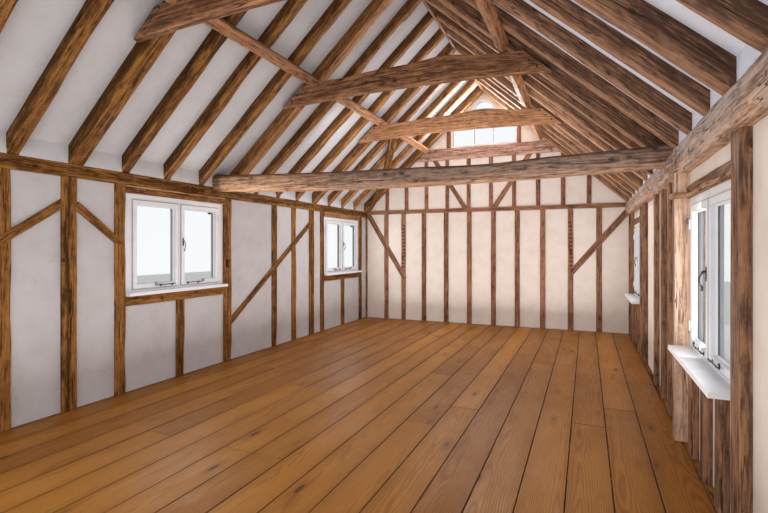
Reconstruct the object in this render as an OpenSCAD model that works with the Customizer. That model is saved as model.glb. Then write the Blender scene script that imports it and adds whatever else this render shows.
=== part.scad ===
// Timber-framed hall with an open collar-and-purlin roof.
// Four bays stand between an open end and a framed gable. +Y runs along the
// ridge to the gable, +X is the right-hand wall, +Z is up. The origin is on
// the ground at the middle of the footprint. Heights named *_z are above the
// floor boards.

/* [Hall] */
// Clear width between the side walls
hall_w = 4380; // [4000:10:4800]
// Number of bays between trusses
bays = 4; // [3:1:6]
// Spacing of the rafters, centre to centre
rafter_spacing = 452; // [420:1:500]
// Thickness of the outer walls
wall_t = 150; // [130:5:200]
// Depth that the plaster sits back from the timber faces
plaster_setback = 25; // [10:1:35]

/* [Floor] */
// Depth of the floor joists
joist_h = 120; // [100:5:160]
// Width of each floor joist
joist_w = 60; // [45:5:90]
// Thickness of the floor boards
board_t = 28; // [20:1:40]

/* [Roof] */
// Rise of the roof for each unit of run
pitch = 0.9; // [0.8:0.01:1.0]
// Height of the common rafters' underside at the wall face
rafter_z = 1995; // [1985:1:2040]
// Depth of a rafter, square to the slope
rafter_d = 140; // [125:1:160]
// Width of a common rafter
rafter_w = 85; // [70:1:100]
// Depth of rafter that shows below the roof lining, square to the slope
rafter_show = 92; // [70:1:105]
// Width of a principal rafter
principal_w = 118; // [100:1:140]
// How much further down a principal rafter reaches, square to the slope
principal_drop = 20; // [10:1:40]
// Reach of the rafter feet beyond the outer wall face
eaves_reach = 150; // [100:10:400]
// Reach of the roof cover beyond the end walls
verge_reach = 40; // [20:5:80]
// Thickness of the roof cover, square to the slope
cover_t = 45; // [35:1:60]
// Thickness of the ridge board
ridge_t = 30; // [25:1:50]
// Depth of the ridge board below the rafters' meeting line
ridge_drop = 25; // [10:1:60]
// Outer radius of the half-round ridge tiles
ridge_tile_r = 115; // [90:5:140]
// Thickness of a ridge tile
ridge_tile_t = 16; // [12:1:24]
// Length of one ridge tile
ridge_tile_l = 457; // [300:1:500]

/* [Collars and purlins] */
// Height of a collar's underside at its tips
collar_z = 2795; // [2750:5:2850]
// Depth of a collar
collar_d = 205; // [180:5:240]
// Height of the waney swelling along each collar's top edge
collar_hump = 40; // [10:2:60]
// Thickness of a collar
collar_t = 65; // [50:5:90]
// How far a collar's left tip stands short of the roof lining, level
collar_left_gap = 55; // [40:5:120]
// How far a collar's right tip stands short of the roof lining, level
collar_right_gap = 110; // [40:5:120]
// Rise of a collar's underside at mid span
collar_camber = 45; // [10:5:80]
// Width of a purlin, along the slope
purlin_w = 88; // [70:1:110]
// Depth of a purlin, square to the slope
purlin_d = 88; // [70:1:110]
// Level distance of the left purlins from the ridge line, as a share of half the clear width
left_purlin_share = 0.465; // [0.41:0.005:0.49]
// Level distance of the right purlins from the ridge line, as a share of half the clear width
right_purlin_share = 0.436; // [0.41:0.002:0.49]
// Width of the curved wind brace
wind_brace_w = 130; // [100:2:150]
// Thickness of the wind brace, square to the slope
wind_brace_t = 45; // [35:1:60]
// Bow of the wind brace towards the gable
wind_brace_bow = 190; // [100:5:240]
// Radius of the peg holes through the collars' ends
peg_r = 11; // [8:1:14]

/* [Tie beam] */
// Height of the tie beam's underside at mid span
tie_z = 1868; // [1800:2:1900]
// Depth of the tie beam at mid span
tie_d = 176; // [160:2:220]
// How much deeper the tie beam is at its left end
tie_taper = 10; // [0:5:30]
// Depth of the hollow in the tie beam's top edge, right of its middle
tie_hollow = 18; // [0:1:30]
// Width of the tie beam
tie_w = 210; // [180:5:250]
// Sag of the tie beam at mid span
tie_sag = 62; // [10:1:80]
// How much lower the tie beam's right end lies than its middle would be if level
tie_tilt = 12; // [0:1:30]
// Distance of the tie beam's ends from the outer wall faces
tie_setback = 30; // [20:5:60]
// Clearance between the tie beam and the principal rafters behind it
tie_gap = 33; // [10:1:60]

/* [Side walls] */
// Height of both wall plates' top
plate_z = 1975; // [1950:5:1980]
// Depth of the left wall plate
left_plate_d = 106; // [90:2:130]
// Depth of the right wall plate
right_plate_d = 165; // [150:5:190]
// How far the right wall plate stands into the room
right_plate_reach = 40; // [10:1:50]
// Width of a principal post
post_w = 116; // [100:2:160]
// How far each post stands nearer the open end than its truss
post_lead = 48; // [10:1:60]
// Width of a side wall stud
stud_w = 100; // [80:2:120]
// How far each stud stands nearer the open end than the rafter over it
stud_lead = 60; // [20:1:80]
// Width of a side wall brace
brace_w = 64; // [50:2:90]
// Height of the left braces at the faces of their posts
brace_z = 1650; // [1500:5:1700]
// Rise of the long left braces for each unit of run
brace_rise = 0.71; // [0.5:0.01:0.8]
// Rise of the short left brace for each unit of run
short_brace_rise = 0.78; // [0.6:0.01:1.0]
// Height of the right brace at the face of its post
right_brace_z = 1150; // [1000:10:1400]
// Height of the rail's top over the right windows
head_rail_z = 1715; // [1650:5:1740]
// Depth that the right wall's plaster sits back from the timber faces
right_plaster_setback = 45; // [30:1:60]
// Depth that the rails over the right windows sit back from the timber faces
head_rail_setback = 25; // [10:1:35]
// How far the post beyond the near right window stands into the room
right_post_reach = 40; // [20:1:60]

/* [Windows] */
// Width of a left window
left_window_w = 1250; // [1100:10:1300]
// Width of a right window
right_window_w = 1140; // [1000:10:1240]
// Width of the thin jamb piece between the near right window and its post
jamb_w = 38; // [30:1:50]
// Height of the left windows' head
left_head_z = 1800; // [1750:5:1820]
// Height of the left windows' sill
left_sill_z = 865; // [800:5:1000]
// Height of the right windows' head
right_head_z = 1632; // [1560:2:1640]
// Height of the right windows' sill
right_sill_z = 615; // [550:5:700]
// Depth that the left window frames sit back from the wall face
left_window_setback = 30; // [20:5:50]
// Depth that the right and gable window frames sit back from the wall face
window_setback = 45; // [30:5:60]
// Thickness of a window frame, front to back
frame_t = 62; // [50:2:80]
// Face width of the window frames' heads and feet
frame_w = 58; // [40:1:60]
// Face width of the window frames' uprights
upright_w = 86; // [60:1:110]
// Face width of the mullion between two lights
mullion_w = 42; // [36:1:60]
// Face width of a casement's own frame
casement_w = 38; // [30:1:60]
// How far the casements stand proud of their frame
casement_reach = 12; // [6:1:20]
// Thickness of the glazing
glass_t = 22; // [12:2:28]
// Thickness of the inner sill boards
sill_t = 28; // [20:1:40]
// Reach of the left sill boards into the room
left_sill_reach = 48; // [20:2:80]
// Reach of the right sill boards into the room
right_sill_reach = 82; // [60:2:100]

/* [Gable] */
// Height of the gable's middle rail, underside
mid_rail_z = 1922; // [1880:2:1960]
// Depth of the gable's middle rail
mid_rail_d = 68; // [60:2:120]
// Number of studs above the middle rail
upper_studs = 10; // [6:2:12]
// Spacing of the studs above the middle rail
upper_spacing = 380; // [300:2:390]
// Width of the studs above the middle rail
upper_stud_w = 66; // [60:2:90]
// Width of the studs below the middle rail
lower_stud_w = 80; // [70:2:110]
// Width of the braces between the upper studs
upper_brace_w = 70; // [60:2:90]
// Width of the gable's corner braces
lower_brace_w = 86; // [70:2:110]
// Height of the left corner brace's foot
lower_brace_foot_z = 740; // [500:10:900]
// Height of the right corner brace's foot
right_brace_foot_z = 900; // [700:10:1000]
// Height of the gable collar's underside
gable_collar_z = 2840; // [2760:5:2850]
// Depth of the gable collar
gable_collar_d = 200; // [180:5:220]
// Width of the three-light gable window
gable_window_w = 1130; // [900:10:1140]
// How far the gable window's middle stands left of the ridge line
gable_window_x = 20; // [0:2:30]
// Face width of the gable window's frame
gable_frame_w = 36; // [30:1:50]
// Height of the gable window's side lights
gable_light_h = 350; // [300:5:400]
// Width of the centre light, and diameter of its arch
centre_light_w = 340; // [280:5:400]
// Height of the centre light's straight sides
centre_light_h = 615; // [480:5:620]

/* [Hidden] */
$fn = 48;

// Levels and places worked out from the driving sizes
rafters_per_bay = 4;
last_rafter = bays * rafters_per_bay;
floor_top = joist_h + board_t;
half_w = hall_w / 2;
outer_x = half_w + wall_t;
eaves_x = outer_x + eaves_reach;
left_purlin_x = left_purlin_share * half_w;
right_purlin_x = right_purlin_share * half_w;
slope_len = sqrt(1 + pitch * pitch);
slope_deg = atan(pitch);
show_v = rafter_show * slope_len;
depth_v = rafter_d * slope_len;
drop_v = principal_drop * slope_len;
cover_v = cover_t * slope_len;
hall_l = collar_t + principal_w + last_rafter * rafter_spacing + wall_t;
near_y = -hall_l / 2;
far_y = hall_l / 2;
gable_y = far_y - wall_t;

function level(z) = floor_top + z;
function rafter_y(k) = near_y + collar_t + principal_w / 2 + k * rafter_spacing;
function is_principal(k) = k % rafters_per_bay == 0;
function width_of(k) = is_principal(k) ? principal_w : rafter_w;
// Height of the common rafters' underside above the ground at a distance from the ridge line
function under(x) = level(rafter_z) + pitch * (half_w - x);
function truss_y(bay) = rafter_y(bay * rafters_per_bay);
function post_y(bay) = bay == 0 ? near_y + post_w / 2 : truss_y(bay) - post_lead;

plate_top = level(plate_z);

// Drawings in a side wall's plane: first axis along Y, second axis up
module side_wall(x, t) translate([x, 0, 0]) rotate([90, 0, 90]) linear_extrude(t) children();
// Drawings in a cross frame's plane: first axis along X, second axis up
module cross_frame(y, t) translate([0, y + t, 0]) rotate([90, 0, 0]) linear_extrude(t) children();

module left_timber() side_wall(-outer_x, wall_t) children();
module right_timber() side_wall(half_w, wall_t) children();
module left_panel() side_wall(-outer_x + plaster_setback, wall_t - 2 * plaster_setback) children();
module right_panel()
    side_wall(half_w + right_plaster_setback, wall_t - plaster_setback - right_plaster_setback) children();

// An upright from z0 to z1, centred at y
module upright(y, w, z0, z1) translate([y - w / 2, z0]) square([w, z1 - z0]);
// A straight bar of width w between two points
module bar(a, b, w) {
    d = b - a;
    n = [-d[1], d[0]] / norm(d) * w / 2;
    polygon([a - n, b - n, b + n, a + n]);
}

// Floor
module floor_joists() color("#8a6a48") {
    count = floor((hall_l - joist_w) / rafter_spacing);
    for (i = [0:count])
        translate([-half_w, near_y + i * rafter_spacing, 0]) cube([hall_w, joist_w, joist_h]);
}
module floor_boards() color("#c98f4e")
    translate([-half_w, near_y, joist_h]) cube([hall_w, hall_l - wall_t, board_t]);

// Sole plates
module left_sole_plate() color("#7a5433")
    translate([-outer_x, near_y, 0]) cube([wall_t, hall_l, floor_top]);
module right_sole_plate() color("#7a5433")
    translate([half_w, near_y, 0]) cube([wall_t, hall_l, floor_top]);
module gable_sole_plate() color("#7a5433")
    translate([-half_w, gable_y, 0]) cube([hall_w, wall_t, floor_top]);

// Wall plates
module left_wall_plate() color("#7d5430")
    translate([-outer_x, near_y, plate_top - left_plate_d]) cube([wall_t, hall_l, left_plate_d]);
module right_wall_plate() color("#7b5c44") {
    z = plate_top - right_plate_d;
    translate([half_w, near_y, z]) cube([wall_t, hall_l, right_plate_d]);
    translate([half_w - right_plate_reach, near_y, z])
        cube([right_plate_reach, hall_l - wall_t, right_plate_d]);
}

// Posts, one under each truss
module posts_drawing(top) {
    for (bay = [0:bays - 1]) upright(post_y(bay), post_w, floor_top, top);
    upright(far_y - wall_t / 2, wall_t, floor_top, top);
}
module left_posts() color("#7a4f2a") left_timber() posts_drawing(plate_top - left_plate_d);
module right_posts() color("#8a5a36") right_timber() posts_drawing(plate_top - right_plate_d);

// Windows stand in the second and the last bay. The near left one is set against a
// post, and the near right one has a thin jamb piece between it and its post.
last_window_y = (post_y(bays - 1) + post_w / 2 + gable_y) / 2;
left_ys = [post_y(2) - post_w / 2 - left_window_w / 2, last_window_y];
right_ys = [post_y(1) + post_w / 2 + jamb_w + right_window_w / 2, last_window_y];

module window_holes(ys, w, sill, head)
    for (y = ys) translate([y - w / 2, level(sill)]) square([w, head - sill]);
module left_holes() window_holes(left_ys, left_window_w, left_sill_z, left_head_z);
module right_holes() window_holes(right_ys, right_window_w, right_sill_z, right_head_z);
// A whole stud beside a window, 1 for its far and -1 for its near side
module jamb(y, w, side, top) upright(y + side * (w + stud_w) / 2, stud_w, floor_top, top);
module left_jambs() {
    jamb(left_ys[0], left_window_w, -1, left_plate_under);
    for (side = [-1, 1]) jamb(left_ys[1], left_window_w, side, left_plate_under);
}
module right_jambs() {
    upright(right_ys[0] - (right_window_w + jamb_w) / 2, jamb_w, floor_top, right_plate_under);
    jamb(right_ys[0], right_window_w, 1, right_plate_under);
    for (side = [-1, 1]) jamb(right_ys[1], right_window_w, side, right_plate_under);
}

left_plate_under = plate_top - left_plate_d;
right_plate_under = plate_top - right_plate_d;
lintel_d = left_plate_under - level(left_head_z);
sill_rail_d = 90;

// Left wall
module left_braces_drawing() {
    z = level(brace_z);
    h = post_w / 2;
    for (bay = [1, bays - 1]) {
        run = post_y(bay) - post_y(bay - 1);
        bar([post_y(bay), z + brace_rise * h], [post_y(bay) - run, z - brace_rise * (run - h)], brace_w);
    }
    run = left_ys[0] - (left_window_w + stud_w) / 2 - post_y(1);
    bar([post_y(1), z + short_brace_rise * h], [post_y(1) + run, z - short_brace_rise * (run - h)], brace_w);
}
module left_studs_drawing() {
    for (k = [3, 10, 11]) upright(rafter_y(k) - stud_lead, stud_w, floor_top, left_plate_under);
    left_jambs();
    for (y = left_ys) upright(y, stud_w, floor_top, level(left_sill_z) - sill_rail_d);
}
module left_rails_drawing()
    for (y = left_ys) {
        translate([y - left_window_w / 2, level(left_head_z)]) square([left_window_w, lintel_d]);
        translate([y - left_window_w / 2, level(left_sill_z) - sill_rail_d])
            square([left_window_w, sill_rail_d]);
    }
module left_braces() color("#7a4f2a") left_timber() difference() {
    left_braces_drawing();
    posts_drawing(plate_top);
    window_holes(left_ys, left_window_w, 0, left_head_z);
    left_jambs();
}
module left_studs() color("#7a4f2a") left_timber() difference() {
    left_studs_drawing();
    left_braces_drawing();
    posts_drawing(plate_top);
}
module left_window_rails() color("#8a5f40") left_timber() left_rails_drawing();
module left_plaster() color("#e9e6e3") left_panel() difference() {
    translate([near_y, floor_top]) square([hall_l, left_plate_under - floor_top]);
    posts_drawing(plate_top);
    left_studs_drawing();
    left_braces_drawing();
    left_rails_drawing();
    left_holes();
}

// Right wall
module right_braces_drawing() {
    y0 = right_ys[0] + right_window_w / 2 + stud_w;
    run = post_y(2) - y0;
    z = level(right_brace_z);
    bar([post_y(2), z + post_w / 2], [y0 - stud_w / 2, z + post_w / 2 - run - stud_w / 2], brace_w);
}
module right_studs_drawing() {
    for (k = [2, 9, 10]) upright(rafter_y(k) - stud_lead, stud_w, floor_top, right_plate_under);
    right_jambs();
    for (y = right_ys, side = [-1, 0, 1])
        upright(y + side * right_window_w / 3.4, stud_w, floor_top, level(right_sill_z));
}
module right_rails_drawing()
    for (y = right_ys)
        translate([y - right_window_w / 2, level(right_head_z)])
            square([right_window_w, head_rail_z - right_head_z]);
module right_braces() color("#8a5a36") right_timber() difference() {
    right_braces_drawing();
    posts_drawing(plate_top);
    right_jambs();
    right_holes();
}
module right_studs() color("#8a5a36") {
    right_timber() difference() {
        right_studs_drawing();
        posts_drawing(plate_top);
    }
    side_wall(half_w - right_post_reach, right_post_reach)
        jamb(right_ys[0], right_window_w, 1, right_plate_under);
}
module right_window_rails() color("#8a5a36")
    side_wall(half_w + head_rail_setback, wall_t - head_rail_setback) right_rails_drawing();
module right_plaster() color("#e6dfd8") right_panel() difference() {
    translate([near_y, floor_top]) square([hall_l, right_plate_under - floor_top]);
    posts_drawing(plate_top);
    right_studs_drawing();
    right_braces_drawing();
    right_rails_drawing();
    right_holes();
}

// A two-light casement window in its own drawing plane, centred on the first axis.
// The lights are the holes in its frame; inset by a casement's frame they are the panes.
module lights(w, h, inset) for (side = [0, 1]) mirror([side, 0])
    translate([mullion_w / 2 + inset, frame_w + inset])
        square([w / 2 - upright_w - mullion_w / 2 - 2 * inset, h - 2 * (frame_w + inset)]);
module frame_drawing(w, h) difference() {
    translate([-w / 2, 0]) square([w, h]);
    lights(w, h, 0);
}
module casement_drawing(w, h) difference() {
    lights(w, h, 0);
    lights(w, h, casement_w);
}
left_window_h = left_head_z - left_sill_z;
right_window_h = right_head_z - right_sill_z;
module on_left(sill) for (y = left_ys) translate([y, level(sill)]) children();
module on_right(sill) for (y = right_ys) translate([y, level(sill)]) children();
module left_window_frames() color("#f2f3f5") {
    x = -half_w - left_window_setback - frame_t;
    side_wall(x, frame_t) on_left(left_sill_z) frame_drawing(left_window_w, left_window_h);
    side_wall(x, frame_t + casement_reach)
        on_left(left_sill_z) casement_drawing(left_window_w, left_window_h);
}
module right_window_frames() color("#f2f3f5") {
    x = half_w + window_setback;
    side_wall(x, frame_t) on_right(right_sill_z) frame_drawing(right_window_w, right_window_h);
    side_wall(x - casement_reach, frame_t + casement_reach)
        on_right(right_sill_z) casement_drawing(right_window_w, right_window_h);
}
glass_inset = (frame_t - glass_t) / 2;
module left_window_glass() color("#cfe0ea", 0.4)
    side_wall(-half_w - left_window_setback - frame_t + glass_inset, glass_t)
        on_left(left_sill_z) lights(left_window_w, left_window_h, casement_w);
module right_window_glass() color("#cfe0ea", 0.4)
    side_wall(half_w + window_setback + glass_inset, glass_t)
        on_right(right_sill_z) lights(right_window_w, right_window_h, casement_w);
module left_window_sills() color("#f4f4f4")
    for (y = left_ys)
        translate([-half_w - left_window_setback, y - left_window_w / 2, level(left_sill_z)])
            cube([left_window_setback + left_sill_reach, left_window_w, sill_t]);
module right_window_sills() color("#f4f4f4")
    for (y = right_ys)
        translate([half_w - right_sill_reach, y - right_window_w / 2, level(right_sill_z)])
            cube([right_sill_reach + window_setback, right_window_w, sill_t]);

// Gable wall
lower_stud_xs = hall_w * [
    -0.411, -0.3333, -0.2443, -0.1507, -0.0571, 0.0365, 0.1256, 0.2169, 0.3128, 0.4064
];
upper_shift = -0.0164 * hall_w;
mid_rail_under = level(mid_rail_z);
mid_rail_top = mid_rail_under + mid_rail_d;
collar_under = level(gable_collar_z);
collar_top = collar_under + gable_collar_d;

module gable_wall(t = wall_t, inset = 0) cross_frame(gable_y + inset, t) children();
// The gable's outline under the roof cover
module gable_outline() {
    top = function(x) under(x) + depth_v;
    polygon([
        [-half_w, floor_top], [half_w, floor_top], [half_w, plate_top],
        [outer_x, plate_top], [outer_x, top(outer_x)], [0, top(0)],
        [-outer_x, top(outer_x)], [-outer_x, plate_top], [-half_w, plate_top]
    ]);
}
module gable_window_hole() {
    translate([-gable_window_w / 2, 0]) square([gable_window_w, gable_light_h]);
    translate([-centre_light_w / 2, 0]) square([centre_light_w, centre_light_h]);
    translate([0, centre_light_h]) circle(d = centre_light_w);
}
// Stands the gable window on the collar
module on_collar() translate([-gable_window_x, collar_top]) children();
module mid_rail_drawing() translate([-half_w, mid_rail_under]) square([hall_w, mid_rail_d]);
module collar_drawing() intersection() {
    translate([-half_w, collar_under]) square([hall_w, gable_collar_d]);
    gable_outline();
}
module lower_studs_drawing()
    for (x = lower_stud_xs) upright(x, lower_stud_w, floor_top, mid_rail_under);
module upper_studs_drawing() intersection() {
    gable_outline();
    union() {
        for (i = [0:upper_studs - 1]) {
            x = (i - (upper_studs - 1) / 2) * upper_spacing + upper_shift;
            upright(x, upper_stud_w, mid_rail_top, collar_under);
        }
        for (side = [-1, 1]) {
            x = side * (gable_window_w + upper_stud_w) / 2 - gable_window_x;
            upright(x, upper_stud_w, collar_top, under(0) + depth_v);
        }
    }
}
module lower_braces_drawing() {
    w = lower_brace_w;
    bar([-half_w, mid_rail_under + w / 2], [lower_stud_xs[1] + w / 4, level(lower_brace_foot_z)], w);
    bar([half_w, mid_rail_under - w / 2], [lower_stud_xs[8], level(right_brace_foot_z)], w);
}
module upper_braces_drawing() {
    z0 = mid_rail_top - upper_brace_w / 2;
    z1 = collar_under + upper_brace_w / 2;
    bar([-0.2009 * hall_w, z1], [-0.0708 * hall_w, z0], upper_brace_w);
    bar([0.1735 * hall_w, z1], [0.0365 * hall_w, z0], upper_brace_w);
}
module gable_mid_rail() color("#7d4a33") gable_wall() mid_rail_drawing();
module gable_collar() color("#a8735a") gable_wall() collar_drawing();
module gable_lower_studs() color("#7d4f3a") gable_wall() difference() {
    lower_studs_drawing();
    lower_braces_drawing();
}
module gable_upper_studs() color("#8f5c43") gable_wall() difference() {
    upper_studs_drawing();
    upper_braces_drawing();
}
module gable_lower_braces() color("#7d4f3a") gable_wall() intersection() {
    lower_braces_drawing();
    translate([-half_w, floor_top]) square([hall_w, mid_rail_under - floor_top]);
}
module gable_upper_braces() color("#8f5c43") gable_wall() intersection() {
    upper_braces_drawing();
    translate([-half_w, mid_rail_top]) square([hall_w, collar_under - mid_rail_top]);
}
module gable_plaster() color("#e8d9cf")
    gable_wall(wall_t - 2 * plaster_setback, plaster_setback) difference() {
        gable_outline();
        mid_rail_drawing();
        collar_drawing();
        lower_studs_drawing();
        upper_studs_drawing();
        lower_braces_drawing();
        upper_braces_drawing();
        on_collar() gable_window_hole();
    }
light_w = (gable_window_w - centre_light_w) / 2;
module gable_window_panes() {
    f = gable_frame_w;
    for (side = [0, 1]) mirror([side, 0])
        translate([centre_light_w / 2, f]) square([light_w - f, gable_light_h - 2 * f]);
    translate([(f - centre_light_w) / 2, f]) square([centre_light_w - f, centre_light_h - f]);
    translate([0, centre_light_h]) circle(d = centre_light_w - f);
}
module gable_window_frame() color("#f4f4f4") gable_wall(frame_t, window_setback) on_collar() difference() {
    gable_window_hole();
    gable_window_panes();
}
module gable_window_glass() color("#eef6fb", 0.4)
    gable_wall(glass_t, window_setback + glass_inset) on_collar() gable_window_panes();

// A rounded trunk through stations of [place, half width, half depth], each along +X
trunk_sides = 20;
function squared(a) = sign(a) * pow(abs(a), 0.62);
function ring(station) = [
    for (j = [0:trunk_sides - 1]) let (a = 360 * (j + 0.5) / trunk_sides)
        station[0] + [0, station[1] * squared(cos(a)), station[2] * squared(sin(a))]
];
module trunk(stations) {
    n = trunk_sides;
    last = len(stations) - 1;
    polyhedron(
        [for (station = stations) each ring(station)],
        concat(
            [for (i = [0:last - 1], j = [0:n - 1]) let (k = (j + 1) % n, p = i * n, q = p + n)
                [p + j, q + j, q + k]],
            [for (i = [0:last - 1], j = [0:n - 1]) let (k = (j + 1) % n, p = i * n, q = p + n)
                [p + j, q + k, p + k]],
            [[for (j = [0:n - 1]) j], [for (j = [n - 1:-1:0]) last * n + j]]
        )
    );
}

// Tie beam, a tapering trunk that sags between the wall plates and is notched over them
tie_y = truss_y(2) - principal_w / 2 - tie_gap - tie_w / 2;
tie_half = outer_x - tie_setback;
tie_steps = 24;
// Its underside and depth at a share of the half span, from -1 at the left to 1 at the right
function tie_under(u) = level(tie_z) + tie_sag * u * u - tie_tilt * u;
hollow_place = 0.33;
hollow_spread = 0.16;
function tie_depth(u) =
    tie_d - tie_taper * u - tie_hollow * exp(-pow((u - hollow_place) / hollow_spread, 2));
module tie_trunk() trunk([
    for (i = [-tie_steps / 2:tie_steps / 2]) let (u = 2 * i / tie_steps, h = tie_depth(u) / 2)
        [[u * outer_x, tie_y, tie_under(u) + h], tie_w / 2, h]
]);
module below_lining() polygon([
    [-tie_half, 0], [tie_half, 0],
    [tie_half, under(tie_half) + show_v], [0, under(0) + show_v], [-tie_half, under(tie_half) + show_v]
]);
module tie_beam() color("#85705c") difference() {
    intersection() {
        tie_trunk();
        cross_frame(tie_y - tie_w, 2 * tie_w) below_lining();
    }
    left_wall_plate();
    right_wall_plate();
}

// Collars, lapped on the open-end faces of the principal rafters
collar_tip_z = level(collar_z);
function soffit_x(z) = half_w - (z - level(rafter_z) - show_v) / pitch;
module collar_side() {
    steps = 16;
    tip = soffit_x(collar_tip_z);
    heel = soffit_x(collar_tip_z + collar_d);
    gap = function(u) u < 0 ? collar_left_gap : collar_right_gap;
    reach = function(u, x) u * (x - gap(u));
    arc = function(u) collar_camber * (1 - u * u);
    swelling = function(u, centre, spread) exp(-pow((u - centre) / spread, 2));
    wane = function(u) collar_hump * (swelling(u, 0.34, 0.2) - 0.3 * swelling(u, -0.55, 0.12));
    polygon(concat(
        [for (i = [-steps:steps]) let (u = i / steps)
            [reach(u, tip), collar_tip_z + arc(u)]],
        [for (i = [steps:-1:-steps]) let (u = i / steps)
            [reach(u, heel), collar_tip_z + collar_d + arc(u) + wane(u)]]
    ));
}
module peg_holes() {
    pegs = 3;
    spacing = 0.3 * collar_d;
    for (side = [-1, 1], i = [0:pegs - 1]) {
        z = collar_tip_z + (i + 0.9) * spacing;
        gap = side < 0 ? collar_left_gap : collar_right_gap;
        translate([side * (soffit_x(z) - gap - 5 * peg_r), z]) circle(peg_r, $fn = 24);
    }
}
module collars() color("#7c5c46")
    for (bay = [0:bays - 1])
        cross_frame(truss_y(bay) - principal_w / 2 - collar_t, collar_t) difference() {
            collar_side();
            peg_holes();
        }

// Rafters: one profile for the left slope, mirrored for the right
module rafter_profile(drop) difference() {
    polygon([
        [-ridge_t / 2, under(ridge_t / 2) - drop],
        [-eaves_x, under(eaves_x) - drop],
        [-eaves_x, under(eaves_x) + depth_v],
        [-ridge_t / 2, under(ridge_t / 2) + depth_v]
    ]);
    translate([-outer_x, 0]) square([wall_t, plate_top]);
}
module rafter(k, drop) cross_frame(rafter_y(k) - width_of(k) / 2, width_of(k)) rafter_profile(drop);
module left_common_rafters() color("#7a4f2c")
    for (k = [0:last_rafter]) if (!is_principal(k)) rafter(k, 0);
module right_common_rafters() color("#6d4830") mirror([1, 0, 0]) left_common_rafters();
module left_principal_rafters() color("#75502f")
    for (k = [0:last_rafter]) if (is_principal(k)) rafter(k, drop_v);
module right_principal_rafters() color("#6a4730") mirror([1, 0, 0]) left_principal_rafters();

// Ridge board between the rafter heads
module ridge_board() color("#6f4c33")
    translate([-ridge_t / 2, near_y, under(0) - ridge_drop])
        cube([ridge_t, hall_l - wall_t, under(ridge_t / 2) + depth_v - under(0) + ridge_drop]);

// Purlins, one length for each bay, between a principal rafter and the next collar
module purlin_bar(x, y0, y1)
    translate([-x, y0, under(x)]) rotate([0, -slope_deg, 0])
        translate([-purlin_w / 2, 0, -purlin_d]) cube([purlin_w, y1 - y0, purlin_d]);
module purlins(x)
    for (bay = [0:bays - 1]) purlin_bar(
        x,
        truss_y(bay) + principal_w / 2,
        truss_y(bay + 1) - principal_w / 2 - (bay + 1 < bays ? collar_t : 0)
    );
module left_purlins() color("#7f5a45") purlins(left_purlin_x);
module right_purlins() color("#6f4c3a") mirror([1, 0, 0]) purlins(right_purlin_x);

// A curved wind brace under the left rafters of the last bay, from the gable's corner
// up to the purlin. Its drawing has the distance up the slope first, then Y.
module wind_brace_drawing() {
    steps = 14;
    s0 = -half_w * slope_len - 60;
    s1 = -left_purlin_x * slope_len - purlin_w / 2;
    y0 = gable_y + 60;
    y1 = truss_y(bays - 1) + 0.8 * rafter_spacing;
    place = function(u) [s0 + (s1 - s0) * u, y0 + (y1 - y0) * u + 4 * wind_brace_bow * u * (1 - u)];
    half_width = wind_brace_w / 2;
    turn = function(u) let (d = place(u + 0.01) - place(u - 0.01)) [-d[1], d[0]] / norm(d) * half_width;
    intersection() {
        polygon(concat(
            [for (i = [0:steps]) let (u = i / steps * 1.15) place(u) + turn(u) * (0.8 + 0.35 * u)],
            [for (i = [steps:-1:0]) let (u = i / steps * 1.15) place(u) - turn(u) * (0.8 + 0.35 * u)]
        ));
        translate([-half_w * slope_len, near_y]) square([half_w * slope_len + s1, gable_y - near_y]);
    }
}
module left_wind_brace() color("#a5764a") difference() {
    translate([0, 0, under(0)]) rotate([0, -slope_deg, 0])
        translate([0, 0, -wind_brace_t]) linear_extrude(wind_brace_t) wind_brace_drawing();
    rafter(last_rafter, drop_v);
}

// Lining between the rafters, and the plaster that closes the wall head
module lining_profile() polygon([
    [-ridge_t / 2, under(ridge_t / 2) + show_v],
    [-outer_x, under(outer_x) + show_v],
    [-outer_x, under(outer_x) + depth_v],
    [-ridge_t / 2, under(ridge_t / 2) + depth_v]
]);
module eaves_profile() polygon([
    [-half_w, plate_top],
    [-half_w, under(half_w) + show_v],
    [-outer_x, under(outer_x) + show_v],
    [-outer_x, plate_top]
]);
module between_rafters() {
    for (k = [0:last_rafter - 1]) {
        y0 = rafter_y(k) + width_of(k) / 2;
        y1 = rafter_y(k + 1) - width_of(k + 1) / 2;
        cross_frame(y0, y1 - y0) children();
    }
}
module left_roof_lining() color("#e4e3e6") between_rafters() lining_profile();
module right_roof_lining() color("#dcd6d2") mirror([1, 0, 0]) left_roof_lining();
module left_eaves_plaster() color("#e4e3e6") difference() {
    between_rafters() eaves_profile();
    tie_trunk();
}
module right_eaves_plaster() color("#dcd6d2") difference() {
    mirror([1, 0, 0]) between_rafters() eaves_profile();
    tie_trunk();
}

// Roof cover: boarding, battens and tiles as one slab on each slope
cover_reach = 40;
module cover_profile() polygon([
    [0, under(0) + depth_v],
    [-eaves_x - cover_reach, under(eaves_x + cover_reach) + depth_v],
    [-eaves_x - cover_reach, under(eaves_x + cover_reach) + depth_v + cover_v],
    [0, under(0) + depth_v + cover_v]
]);
module left_roof_cover() color("#9a5f47")
    cross_frame(near_y - verge_reach, hall_l + 2 * verge_reach) cover_profile();
module right_roof_cover() color("#9a5f47") mirror([1, 0, 0]) left_roof_cover();

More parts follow.
